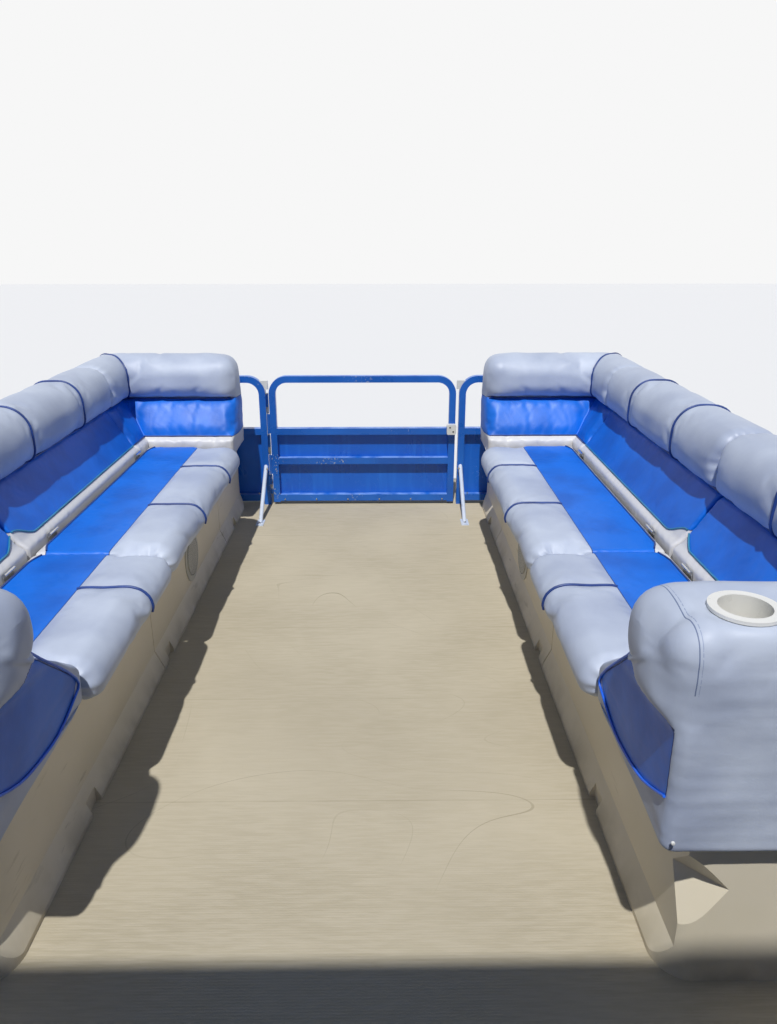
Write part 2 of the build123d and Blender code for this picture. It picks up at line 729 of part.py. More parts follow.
def back_section():
    """Section of a lounge back, as distance from the centreline and height."""
    outer = LOUNGE_OUTER
    roll = outer - BACK_ROLL
    low = BASE_TOP + CONTACT_GAP
    points = [(outer, low), (outer, BACK_TOP), (roll, BACK_TOP), (roll, BACK_ROLL_BOTTOM),
              (BACK_FRONT + BACK_FOOT_SLOPE, BACK_FOOT_TOP), (BACK_FRONT, SEAT_TOP), (BACK_FRONT, low)]
    return rounded(points, (0, ROLL_R, ROLL_R, 0, 0, 0, 0))


def return_section():
    """The same section turned to run across the bow, as Y and height."""
    return Pos(BACK_BOW_Y - LOUNGE_OUTER, 0) * back_section()


def seat_section():
    """Section of a seat cushion with its front bolster."""
    lip = BASE_AISLE - MOVING_GAP
    points = [(SEAT_FRONT, SEAT_DROP), (SEAT_FRONT, SEAT_TOP - SEAT_FALL), (SEAT_REAR, SEAT_TOP),
              (SEAT_REAR, SEAT_UNDER), (lip, SEAT_UNDER), (lip, SEAT_DROP)]
    return rounded(points, (BOLSTER_UNDER_R, BOLSTER_TOP_R, 0, 0, 0, 0))


def arm_section():
    """Section of the aft end back, as Y and height."""
    y0 = ARM_AFT_Y
    low = BASE_TOP + CONTACT_GAP
    roll = y0 + ARM_ROLL
    foot = y0 + ARM_FOOT
    points = [(y0, low), (y0, ARM_TOP), (roll, ARM_TOP), (roll, ARM_ROLL_BOTTOM),
              (foot - ARM_FOOT_SLOPE, BACK_FOOT_TOP), (foot, SEAT_TOP), (foot, low)]
    return rounded(points, (0, ARM_AFT_R, ARM_ROLL_R, 0, 0, 0, 0))


def cup_space(extra):
    """Space that a cup holder takes up in the end back."""
    return Pos(CUP_X, CUP_Y, ARM_TOP) * Cylinder(CUP_BORE_R + CUP_WALL + extra, 2 * (CUP_DEPTH + extra))


def arm_cushion():
    """Aft end back of the starboard lounge."""
    return along_x(arm_section(), ARM_INNER, LOUNGE_OUTER) - cup_space(CONTACT_GAP)


def cup_holder():
    """Drop-in cup with a rim."""
    seat = Pos(CUP_X, CUP_Y, ARM_TOP + CONTACT_GAP)
    rim = seat * Cylinder(CUP_RIM_R, CUP_RIM, align=UPWARD)
    cup = seat * Cylinder(CUP_BORE_R + CUP_WALL, CUP_DEPTH, align=DOWNWARD)
    mouth = Pos(CUP_X, CUP_Y, ARM_TOP + 2 * CUP_RIM)
    bore = mouth * Cylinder(CUP_BORE_R, CUP_DEPTH + 2 * CUP_RIM - CUP_WALL, align=DOWNWARD)
    return rim + cup - bore


def back_side(y0, y1):
    """Straight length of lounge back."""
    return along_y(back_section(), y0, y1)


BACK_JOINT_Y = SEAT_JOINT_Y - 2 * MOVING_GAP


def back_aft():
    """Aft length of the side back, cut to meet the end back."""
    arm = along_x(arm_section(), ARM_INNER, 2 * LOUNGE_OUTER)
    shifted = Pos(0, 2 * CONTACT_GAP, 2 * CONTACT_GAP) * arm
    return back_side(ARM_AFT_Y + ARM_ROLL + CONTACT_GAP, BACK_JOINT_Y) - arm - shifted


def back_bow():
    """Corner back: the end of the side back and the return along the bow fence."""
    side = back_side(RETURN_AFT_Y + 2 * CONTACT_GAP, BACK_BOW_Y)
    across = along_x(return_section(), RETURN_INNER, LOUNGE_OUTER)
    corner = block(0, LOUNGE_OUTER, RETURN_AFT_Y, BACK_BOW_Y, 0, 2 * BACK_TOP)
    outside = corner.edges().filter_by(Axis.Z).sort_by(Axis.X)[-2:].sort_by(Axis.Y)[-1]
    return (side + across) & fillet(outside, RETURN_CORNER_R)


# Hollows under the seats, as pairs of Y places
LOUNGE_HOLLOWS = (
    (ARM_AFT_Y + ARM_FOOT + BASE_FLOOR, SEAT_JOINT_Y - BASE_FLOOR),
    (SEAT_JOINT_Y + BASE_FLOOR, BACK_BOW_Y - BACK_FOOT - BASE_FLOOR),
)
BENCH_WALL = BENCH_OVERHANG + BASE_WALL
BENCH_HOLLOWS = ((BENCH_AFT_Y + BENCH_WALL, BENCH_BOW_Y - BENCH_WALL),)


def base_section():
    """Section of a moulded base: an upright face on a sloping foot."""
    return polygon([(BASE_FOOT, 0), (BASE_FOOT, FOOT_EDGE), (BASE_AISLE, FOOT_TOP), (BASE_AISLE, BASE_TOP),
                    (LOUNGE_OUTER, BASE_TOP), (LOUNGE_OUTER, 0)])


def base_block(y0, y1, hollows):
    """Moulded base with rounded corners at the aisle and a hollow under each seat."""
    plan = block(BASE_FOOT, LOUNGE_OUTER, y0, y1, 0, BASE_TOP)
    plan = fillet(plan.edges().filter_by(Axis.Z).sort_by(Axis.X)[:2], BASE_CORNER_R)
    base = plan & along_y(base_section(), y0, y1)
    for start, end in hollows:
        base -= block(BASE_AISLE + BASE_WALL, SEAT_REAR - SEAT_HINGE_FOOT - 2 * CONTACT_GAP, start, end,
                      BASE_FLOOR, 2 * BASE_TOP)
    return base


def corner_relief():
    """Faceted V cut out of the base's aft corner at the aisle."""
    outside = -RELIEF_DEPTH
    facets = polygon([(0, RELIEF_LOW), (RELIEF_DEPTH, RELIEF_MIDDLE), (0, RELIEF_HIGH),
                      (outside, RELIEF_HIGH - outside), (outside, RELIEF_LOW + outside)])
    across = along_y(facets, -2 * RELIEF_DEPTH, 2 * RELIEF_DEPTH)
    return Pos(BASE_AISLE, BASE_AFT_Y, 0) * (Rot(0, 0, 45) * across)


def speaker_space(extra):
    """Round recess in the base's aisle face."""
    sink = Cylinder(SPEAKER_R + extra, 2 * (SPEAKER_SINK + extra))
    return Pos(BASE_AISLE, SPEAKER_Y, SPEAKER_Z) * (Rot(0, 90, 0) * sink)


def lounge_base():
    """Base of the starboard lounge, with the seams and notches of its moulded modules."""
    base = base_block(BASE_AFT_Y, BASE_BOW_Y, LOUNGE_HOLLOWS) - speaker_space(CONTACT_GAP) - corner_relief()
    for place in BASE_SEAMS:
        start = BASE_AFT_Y + place
        base -= block(0, BASE_AISLE + SEAM_DEPTH, start, start + SEAM_WIDTH, 0, BASE_TOP)
    for place in FOOT_NOTCHES:
        start = BASE_AFT_Y + place
        base -= block(0, BASE_FOOT + FOOT_FLARE / 2, start, start + FOOT_NOTCH, 0, FOOT_TOP)
    return base


# Speaker steps, from the base outwards: radius and thickness
SPEAKER_STEPS = (
    (SPEAKER_R, SPEAKER_SINK),
    (SPEAKER_R + SPEAKER_FLANGE, 4.0),
    (SPEAKER_R - 1.5 * SPEAKER_FLANGE, 3.0),
)


def speaker():
    """Round speaker with a flange and a raised grille."""
    face = Part()
    height = 0
    for radius, thickness in SPEAKER_STEPS:
        face += Pos(0, 0, height) * Cylinder(radius, thickness, align=UPWARD)
        height += thickness
    return Pos(BASE_AISLE + SPEAKER_SINK, SPEAKER_Y, SPEAKER_Z) * (Rot(0, -90, 0) * face)


# Each seat: name, aft end and bow end
SEATS = (
    ("seat_aft", ARM_AFT_Y + ARM_FOOT + MOVING_GAP, SEAT_JOINT_Y - MOVING_GAP / 2),
    ("seat_fore", SEAT_JOINT_Y + MOVING_GAP / 2, BACK_BOW_Y - BACK_FOOT - SEAT_OFF_RETURN),
    ("aft_bench_seat", BENCH_AFT_Y, BENCH_BOW_Y),
)


def hinge_places(y0, y1):
    """Middles of the two hinges of a seat."""
    half = SEAT_HINGE_LENGTH / 2
    return (y0 + SEAT_HINGE_INSET + half, y1 - SEAT_HINGE_INSET - half)


def hinge_barrel(y, radius, length):
    """Bar on a seat's lift axis."""
    return rod((SEAT_REAR, y - length / 2, SEAT_TOP), (SEAT_REAR, y + length / 2, SEAT_TOP), radius)


def seat_cushion(y0, y1):
    """Seat cushion with a groove for each hinge barrel."""
    seat = along_y(seat_section(), y0, y1)
    for y in hinge_places(y0, y1):
        seat -= hinge_barrel(y, SEAT_HINGE_R + CONTACT_GAP, SEAT_HINGE_LENGTH + MOVING_GAP)
    return seat


def seat_hinge(y):
    """Angle bracket on the base, with the barrel that a seat turns on."""
    half = SEAT_HINGE_LENGTH / 2
    low = BASE_TOP + CONTACT_GAP
    back = BACK_FRONT - CONTACT_GAP
    leaf = block(back - SEAT_HINGE_LEAF, back, y - half, y + half, low, SEAT_TOP)
    foot = block(SEAT_REAR - SEAT_HINGE_FOOT, back, y - half, y + half, low, low + SEAT_HINGE_LEAF)
    return leaf + foot + hinge_barrel(y, SEAT_HINGE_R, SEAT_HINGE_LENGTH)


def seat_parts():
    """Seat cushions that lift as lids, and the hinges that they turn on."""
    parts = {"seat_hinges": []}
    for name, y0, y1 in SEATS:
        seat = up(seat_cushion(y0, y1))
        hinges = [up(seat_hinge(y)) for y in hinge_places(y0, y1)]
        if name == "aft_bench_seat":
            parts[name] = [port_of(seat)]
        else:
            parts[name + "_starboard"] = [seat]
            parts[name + "_port"] = [port_of(seat)]
            parts["seat_hinges"] += hinges
        parts["seat_hinges"] += [port_of(hinge) for hinge in hinges]
    return parts


def back_parts():
    """Back cushions and end backs on both sides."""
    starboard = {
        "back_bow": back_bow(),
        "back_side": back_side(BACK_JOINT_Y + 2 * CONTACT_GAP, RETURN_AFT_Y),
        "back_aft": back_aft(),
        "end_back": arm_cushion(),
    }
    parts = {}
    for name, cushion in starboard.items():
        parts[name + "_starboard"] = [up(cushion)]
        parts[name + "_port"] = [port_of(up(cushion))]
    parts["aft_bench_back"] = [port_of(up(back_side(BENCH_AFT_Y, BENCH_BOW_Y)))]
    return parts


# Helm

def wheel_plane(offset):
    """Plane square to the wheel's axis, which points aft and up."""
    axis = Vector(0, -cos(radians(WHEEL_TILT)), sin(radians(WHEEL_TILT)))
    y = HELM_AFT_Y + WHEEL_DASH_DEPTH - WHEEL_STANDOFF * cos(radians(WHEEL_TILT))
    return Plane(origin=Vector(WHEEL_X, y, WHEEL_Z) + axis * offset, x_dir=(1, 0, 0), z_dir=axis)


def helm_console():
    """Console with a sloping dash and the shaft that carries the wheel."""
    toe_y = HELM_AFT_Y + HELM_TOE
    knee = HELM_DASH - HELM_DASH_DEPTH
    points = [(toe_y, 0), (HELM_BOW_Y, 0), (HELM_BOW_Y - HELM_FRONT_RAKE, HELM_TOP),
              (HELM_AFT_Y + HELM_DASH_DEPTH, HELM_TOP), (HELM_AFT_Y, HELM_DASH), (HELM_AFT_Y, knee),
              (toe_y, knee - HELM_TOE)]
    radii = (0, 0, HELM_EDGE_R, HELM_EDGE_R, HELM_EDGE_R, 0, 0)
    front = rounded([(HELM_X0, 0), (HELM_X0, HELM_TOP), (HELM_X1, HELM_TOP), (HELM_X1, 0)],
                    (0, 2 * HELM_EDGE_R, 2 * HELM_EDGE_R, 0))
    body = along_x(rounded(points, radii), HELM_X0, HELM_X1) & along_y(front, HELM_AFT_Y, HELM_BOW_Y)
    hub_back = WHEEL_HUB / 2 + WHEEL_SINK + MOVING_GAP
    shaft = wheel_plane(-WHEEL_STANDOFF) * Cylinder(WHEEL_SHAFT_R, WHEEL_STANDOFF - hub_back, align=UPWARD)
    pin = wheel_plane(-WHEEL_STANDOFF) * Cylinder(WHEEL_PIN_R, WHEEL_STANDOFF, align=UPWARD)
    return [up(body + shaft + pin)]


def steering_wheel():
    """Rim, three spokes and hub."""
    rim_r = WHEEL_R - WHEEL_RIM_R
    wheel = Torus(rim_r, WHEEL_RIM_R) + Pos(0, 0, -WHEEL_SINK) * Cylinder(WHEEL_HUB_R, WHEEL_HUB)
    for turn in (90, 210, 330):
        spoke = Pos(rim_r / 2, 0, -WHEEL_SINK) * Box(rim_r, SPOKE_WIDTH, SPOKE_THICK)
        wheel += Rot(0, 0, turn) * spoke
    back = -WHEEL_SINK - WHEEL_HUB / 2
    wheel -= Pos(0, 0, back) * Cylinder(WHEEL_PIN_R + RUNNING_GAP, 2 * (WHEEL_HUB - 2 * SPOKE_THICK))
    return [up(wheel_plane(0) * wheel)]


def windscreen():
    """Raked screen on top of the console."""
    y = HELM_BOW_Y - SCREEN_SET_BACK
    low = HELM_TOP + CONTACT_GAP
    high = low + SCREEN_HEIGHT
    outline = [(y, low), (y + SCREEN_THICK, low),
               (y - SCREEN_RAKE + SCREEN_THICK, high), (y - SCREEN_RAKE, high)]
    return [up(along_x(polygon(outline), HELM_X0 + 3 * SCREEN_SIDE, HELM_X1 - 3 * SCREEN_SIDE))]


def throttle_box():
    """Motor control on the side of the console, with its lever."""
    x = HELM_X1 + CONTACT_GAP
    y = HELM_AFT_Y + HELM_EDGE_R
    case = block(x, x + CONTROL_DEPTH, y, y + CONTROL_LENGTH, CONTROL_LOW, CONTROL_HIGH)
    case = fillet(case.edges().filter_by(Axis.X), HELM_EDGE_R)
    middle, level = y + CONTROL_LENGTH / 2, (CONTROL_LOW + CONTROL_HIGH) / 2
    lever_x = x + CONTROL_DEPTH + LEVER_R + 4 * CONTACT_GAP
    head_y, head_z = middle - LEVER_LEAN, level + LEVER_RISE
    lever = rod((lever_x, middle, level), (lever_x, head_y, head_z), LEVER_R)
    grip = rod((lever_x + GRIP_R, head_y, head_z), (x + LEVER_R, head_y, head_z), GRIP_R)
    boss = rod((x + CONTROL_DEPTH / 2, middle, level), (lever_x + LEVER_R, middle, level), BOSS_R)
    return [up(case + boss + lever + grip)]


def helm_pedestal():
    """Chair pedestal with a floor plate and a top pin."""
    column = Cylinder(PEDESTAL_PLATE_R, PEDESTAL_PLATE, align=UPWARD)
    column += Cylinder(PEDESTAL_R, CHAIR_SEAT_Z - MOVING_GAP, align=UPWARD)
    column += Cylinder(PEDESTAL_PIN_R, CHAIR_SEAT_Z + PEDESTAL_PIN, align=UPWARD)
    return [up(Pos(WHEEL_X, CHAIR_Y, 0) * column)]


def helm_seat():
    """Swivelling chair, cut from its side view and its front view."""
    front = CHAIR_DEPTH / 2
    back = -front - CHAIR_BACK_SINK + CHAIR_BACK / 2
    top = CHAIR_SEAT_Z + CHAIR_CUSHION
    side = rounded([(front, CHAIR_SEAT_Z), (front, top), (back, top), (back - CHAIR_BACK / 5, CHAIR_BACK_TOP),
                    (back - CHAIR_BACK, CHAIR_BACK_TOP), (back - CHAIR_BACK, CHAIR_SEAT_Z)],
                   (CHAIR_R / 2, CHAIR_R, CHAIR_R / 2, CHAIR_R, CHAIR_R, CHAIR_R))
    half = CHAIR_WIDTH / 2
    corners = [(-half, CHAIR_SEAT_Z), (-half, CHAIR_BACK_TOP), (half, CHAIR_BACK_TOP), (half, CHAIR_SEAT_Z)]
    face = rounded(corners, (CHAIR_R, CHAIR_CORNER_R, CHAIR_CORNER_R, CHAIR_R))
    seat = along_x(side, -half, half) & along_y(face, -CHAIR_DEPTH, CHAIR_DEPTH)
    seat -= Pos(0, 0, CHAIR_SEAT_Z) * Cylinder(PEDESTAL_PIN_R + RUNNING_GAP, 2 * (PEDESTAL_PIN + MOVING_GAP))
    return [up(Pos(WHEEL_X, CHAIR_Y, 0) * seat)]


# Motor

def outboard_clamp():
    """Bracket on the transom with the tilt tube between its two ears."""
    face = TRANSOM_Y - CONTACT_GAP
    inner = CLAMP_HALF - CLAMP_CHEEK
    cheek = block(inner, CLAMP_HALF, TRANSOM_Y - CLAMP_DEPTH, face, CLAMP_FOOT, TILT_Z - TILT_EAR_DROP)
    cheek += rod((inner, TILT_Y, TILT_Z), (CLAMP_HALF, TILT_Y, TILT_Z), TILT_EAR_R)
    plate = block(-CLAMP_HALF, CLAMP_HALF, TRANSOM_Y - CLAMP_PLATE, face, CLAMP_FOOT, CLAMP_PLATE_TOP)
    tube = rod((-CLAMP_HALF, TILT_Y, TILT_Z), (CLAMP_HALF, TILT_Y, TILT_Z), TILT_TUBE_R)
    return [cheek + port_of(cheek) + plate + tube]


def outboard_swivel():
    """Swivel bracket between the tilt tube and the steering axis."""
    sleeve = rod((-SLEEVE_HALF, TILT_Y, TILT_Z), (SLEEVE_HALF, TILT_Y, TILT_Z), SLEEVE_R)
    head = rod((0, STEER_Y, STEER_FOOT), (0, STEER_Y, TRANSOM_TOP), STEER_HEAD_R)
    web = block(-WEB_HALF, WEB_HALF, STEER_Y + PROP_SHAFT_R, TILT_Y, WEB_LOW, TRANSOM_TOP + TILT_EAR_R)
    bracket = sleeve + head + web
    past = (SLEEVE_HALF + SLEEVE_R, STEER_FOOT - SLEEVE_R, TRANSOM_TOP + 2 * TILT_EAR_R)
    bracket -= rod((-past[0], TILT_Y, TILT_Z), (past[0], TILT_Y, TILT_Z), TILT_TUBE_R + RUNNING_GAP)
    bracket -= rod((0, STEER_Y, past[1]), (0, STEER_Y, past[2]), STEER_PIN_R + RUNNING_GAP)
    return [bracket]


def outboard_leg():
    """Steering tube, midsection, gear case and plates."""
    yoke_y = (STEER_Y - YOKE_AFT, STEER_Y + STEER_PIN_R)
    top = TRANSOM_TOP + YOKE_TOP
    foot = STEER_FOOT - YOKE_TOP
    pin = rod((0, STEER_Y, foot), (0, STEER_Y, top), STEER_PIN_R)
    upper = block(-YOKE_HALF, YOKE_HALF, *yoke_y, TRANSOM_TOP + TILT_EAR_R, top)
    lower = block(-YOKE_HALF, YOKE_HALF, *yoke_y, foot, STEER_FOOT - MOVING_GAP)
    middle = block(-LEG_HALF, LEG_HALF, STEER_Y - LEG_AFT, STEER_Y - LEG_FRONT, PLATE_Z, top)
    middle = fillet(middle.edges().filter_by(Axis.Z), LEG_R)
    plate_y = (STEER_Y - PLATE_AFT, STEER_Y - PLATE_FRONT)
    plate = block(-PLATE_HALF, PLATE_HALF, *plate_y, PLATE_Z, PLATE_Z + PLATE_THICK)
    strut_y = (STEER_Y - LEG_AFT - PLATE_FRONT, STEER_Y - LEG_FRONT)
    strut = block(-STRUT_HALF, STRUT_HALF, *strut_y, PROP_Z, PLATE_Z)
    nose_y = STEER_Y + GEAR_FRONT
    case = rod((0, nose_y, PROP_Z), (0, GEAR_AFT_Y, PROP_Z), GEAR_R)
    nose = Pos(0, nose_y, PROP_Z) * (Rot(-90, 0, 0) * Cone(GEAR_R, GEAR_NOSE_R, GEAR_NOSE, align=UPWARD))
    low = PROP_Z - SKEG_DROP
    skeg = polygon([(STEER_Y - LEG_FRONT, PROP_Z), (GEAR_AFT_Y + 2 * GEAR_NOSE_R, PROP_Z),
                    (GEAR_AFT_Y + GEAR_NOSE_R, low), (STEER_Y - LEG_AFT + GEAR_FRONT, low)])
    shaft = rod((0, GEAR_AFT_Y + GEAR_R, PROP_Z), (0, GEAR_AFT_Y - PROP_SHAFT, PROP_Z), PROP_SHAFT_R)
    fin = along_x(skeg, -SKEG_HALF, SKEG_HALF)
    return [pin + upper + lower + middle + plate + strut + case + nose + fin + shaft]


def outboard_cowl():
    """Motor cover, cut from its side view, its rear view and its plan."""
    low = TRANSOM_TOP + YOKE_TOP + CONTACT_GAP
    high = low + COWL_HEIGHT
    front, aft = STEER_Y + COWL_FRONT, STEER_Y - COWL_AFT
    side = rounded([(front, low), (front, high - 3 * COWL_TAPER), (aft + COWL_TAPER, high), (aft, low)],
                   (0, COWL_TOP_R, COWL_BACK_R, 0))
    rear = rounded([(-COWL_HALF, low), (COWL_TAPER - COWL_HALF, high), (COWL_HALF - COWL_TAPER, high),
                    (COWL_HALF, low)], (0, COWL_TOP_R, COWL_TOP_R, 0))
    plan = block(-COWL_HALF, COWL_HALF, aft, front, low, high)
    plan = fillet(plan.edges().filter_by(Axis.Z), COWL_CORNER_R)
    return [plan & along_x(side, -COWL_HALF, COWL_HALF) & along_y(rear, aft, front)]


def propeller():
    """Hub and three pitched blades."""
    prop = Cylinder(PROP_HUB_R, PROP_HUB, align=UPWARD)
    reach = PROP_R - BLADE_LENGTH / 2
    for turn in (0, 120, 240):
        pitched = Rot(BLADE_PITCH, 0, 0)
        blade = pitched * extrude(Ellipse(BLADE_LENGTH / 2, BLADE_WIDTH / 2), BLADE_THICK / 2, both=True)
        root = pitched * Box(PROP_HUB_R, BLADE_WIDTH / 2, BLADE_THICK)
        outward = Pos(reach, 0, PROP_HUB / 2)
        prop += Rot(0, 0, turn) * (outward * (blade + Pos(-PROP_HUB_R, 0, 0) * root))
    prop -= Cylinder(PROP_SHAFT_R + RUNNING_GAP, 4 * PROP_HUB)
    return [Pos(0, GEAR_AFT_Y - MOVING_GAP, PROP_Z) * (Rot(90, 0, 0) * prop)]


# Canopy, with heights above the deck

def main_point(up_bow, ahead):
    """Point of the side view, given along the main bow and ahead of it."""
    lean = radians(MAIN_LEAN)
    y = PIVOT_Y + up_bow * sin(lean) + ahead * cos(lean)
    z = PIVOT_Z + up_bow * cos(lean) - ahead * sin(lean)
    return y, z


FRONT_HINGE = main_point(FRONT_HINGE_UP, NEST_OFFSET)
REAR_HINGE = main_point(REAR_HINGE_UP, -NEST_OFFSET)


def bow_tube(foot, top_y):
    """Bent bow tube from a hinge point, up to the canopy top and across."""
    rise = CANOPY_TOP - foot[1]
    run = top_y - foot[0]
    length = hypot(rise, run)
    half = RAIL_X
    path = Polyline((half, EYE_NECK), (half, length), (-half, length), (-half, EYE_NECK))
    path = fillet(path.vertices().group_by(Axis.Y)[-1], BOW_CORNER_R)
    start = Plane(origin=(half, EYE_NECK, 0), z_dir=(0, 1, 0))
    tube = sweep(start * Circle(BOW_TUBE_R), path=path)
    eye = Pos(half, 0, 0) * (Rot(0, 90, 0) * Cylinder(EYE_R, 2 * EYE_HALF))
    eye += block(half - EYE_HALF, half + EYE_HALF, 0, EYE_NECK + EYE_CHEEK / 4, -EYE_CHEEK, EYE_CHEEK)
    eye -= Pos(half, 0, 0) * (Rot(0, 90, 0) * Cylinder(PIVOT_PIN_R + RUNNING_GAP, 4 * EYE_R))
    lean = degrees(atan2(run, rise))
    return Pos(0, foot[0], foot[1]) * (Rot(90 - lean, 0, 0) * (tube + eye + port_of(eye)))


def lug(point, up_bow):
    """Plate and pin on the inner side of the main bow that carry another bow."""
    y, z = point
    on_bow = main_point(up_bow, 0)
    inner = RAIL_X - LUG_INNER
    run = Vector(0, y - on_bow[0], z - on_bow[1])
    plate = Plane(origin=(inner, on_bow[0], on_bow[1]), x_dir=run, z_dir=(-1, 0, 0))
    slot = Pos(NEST_OFFSET / 2, 0) * SlotOverall(NEST_OFFSET + LUG_WIDTH, LUG_WIDTH)
    stem = rod((RAIL_X, *on_bow), (inner - LUG_THICK, *on_bow), STEM_R)
    pin = rod((inner - LUG_THICK, y, z), (RAIL_X + EYE_HALF + LEAF_THICK, y, z), PIVOT_PIN_R)
    return plate * extrude(slot, LUG_THICK) + stem + pin


def bimini_main_bow():
    """Main bow with the lugs for the front and rear bows."""
    bow = bow_tube((PIVOT_Y, PIVOT_Z), MAIN_BOW_Y)
    for point, up_bow in ((FRONT_HINGE, FRONT_HINGE_UP), (REAR_HINGE, REAR_HINGE_UP)):
        part = lug(point, up_bow)
        bow = bow + part + port_of(part)
    return [up(bow)]


def bimini_mounts():
    """Forks on the side rails that carry the main bow."""
    half = MOUNT_LENGTH / 2
    base = block(RAIL_X - MOUNT_HALF, RAIL_X + MOUNT_HALF, PIVOT_Y - half, PIVOT_Y + half,
                 FENCE_TOP + CONTACT_GAP, FENCE_TOP + MOUNT_PLATE)
    inside = EYE_HALF + MOVING_GAP
    for x in (RAIL_X - inside - FORK_THICK, RAIL_X + inside):
        base += block(x, x + FORK_THICK, PIVOT_Y - FORK_LENGTH / 2, PIVOT_Y + FORK_LENGTH / 2,
                      FENCE_TOP + MOUNT_PLATE / 2, PIVOT_Z + FORK_RISE)
    outside = inside + FORK_THICK
    base += rod((RAIL_X - outside, PIVOT_Y, PIVOT_Z), (RAIL_X + outside, PIVOT_Y, PIVOT_Z), PIVOT_PIN_R)
    return both(up(base))


def canvas_section(inset):
    """Arched outline of the canopy, as X and height."""
    half = RAIL_X + BOW_TUBE_R + CANVAS_OFF_BOW + CANVAS_THICK - inset
    top = CANOPY_TOP + BOW_TUBE_R + 1 + CANVAS_THICK - inset
    low = top - CANVAS_R - CANVAS_HEM + inset
    corner = CANVAS_R - inset
    return rounded([(-half, low), (-half, top), (half, top), (half, low)], (0, corner, corner, 0))


def bimini_canvas():
    """Canopy cloth."""
    inner = canvas_section(CANVAS_THICK)
    shell = canvas_section(0) - inner - Pos(0, -5 * CANVAS_THICK) * inner
    return [up(along_y(shell, REAR_BOW_Y - CANVAS_REACH, FRONT_BOW_Y + CANVAS_REACH))]


# Each strap: foot on the fence, then the end at the bow, as Y and height
STRAP_FOOT_Z = FENCE_TOP + FORK_THICK
STRAP_HEAD_Z = CANOPY_TOP - STRAP_DROP
STRAPS = (
    ((SIDE_GATE_FORE + STRAP_FORE, STRAP_FOOT_Z), (FRONT_BOW_Y + 2 * EYE_R, STRAP_HEAD_Z)),
    ((FENCE_STERN_Y + STRAP_AFT, STRAP_FOOT_Z), (REAR_BOW_Y - RUNNING_GAP, STRAP_HEAD_Z)),
)


def bimini_straps():
    """Webbing straps from the outer bows down to the fence."""
    solids = []
    for foot, head in STRAPS:
        run = Vector(0, head[0] - foot[0], head[1] - foot[1])
        plane = Plane(origin=(RAIL_X, *foot), x_dir=(1, 0, 0), z_dir=run)
        solids += both(up(plane * Box(STRAP_WIDTH, STRAP_THICK, run.length, align=UPWARD)))
    return solids


# Deck hardware

def cleats():
    """Mooring cleats at the corners of the deck."""
    third = HORN_HALF / 3
    horn = rod((0, -HORN_HALF, HORN_Z), (0, HORN_HALF, HORN_Z), HORN_R)
    cleat = horn + block(-CLEAT_HALF, CLEAT_HALF, -2 * third, 2 * third, 0, CLEAT_FOOT)
    for y in (-third, third):
        cleat += block(-CLEAT_LEG, CLEAT_LEG, y - HORN_R, y + HORN_R, 0, HORN_Z)
    ends = (DECK_LENGTH / 2 - CLEAT_FROM_END, CLEAT_FROM_END - DECK_LENGTH / 2)
    x = DECK_WIDTH / 2 - CLEAT_FROM_SIDE
    return [up(Pos(side * x, y, CONTACT_GAP) * cleat) for side in (-1, 1) for y in ends]


def nav_lights():
    """Bow lights in the deck corners and a stern light on a short stalk."""
    outer = DECK_WIDTH / 2 - BOW_LIGHT_OUT
    aft = FENCE_BOW_Y + BOW_LIGHT_AHEAD
    bow = block(outer - BOW_LIGHT_WIDTH, outer, aft, aft + BOW_LIGHT_LENGTH, CONTACT_GAP, BOW_LIGHT_HEIGHT)
    bow = fillet(bow.edges().filter_by(Axis.Z), BOW_LIGHT_R)
    x, y = STERN_LIGHT_X, FENCE_STERN_Y + FENCE_TUBE / 2
    head = FENCE_TOP + STALK_HEIGHT
    stalk = rod((x, y, FENCE_TOP + CONTACT_GAP), (x, y, head), STALK_R)
    lamp = rod((x, y, head), (x, y, head + LAMP_HEIGHT), LAMP_R)
    return [up(bow), up(port_of(bow)), up(stalk + lamp)]


def bow_eyes():
    """Mooring eyes on the noses of the floats."""
    y = NOSE_TIP_Y + EYE_AHEAD
    half = EYE_PLATE_THICK / 2
    across = Pos(TUBE_X, y, TUBE_Z) * Rot(0, 90, 0)
    plate = across * Cylinder(EYE_PLATE_R, EYE_PLATE_THICK)
    plate += block(TUBE_X - half, TUBE_X + half, NOSE_TIP_Y + 2 * CONTACT_GAP, y, TUBE_Z - EYE_PLATE_R,
                   TUBE_Z + EYE_PLATE_R)
    return both(plate - across * Cylinder(EYE_BORE_R, 2 * EYE_PLATE_R))


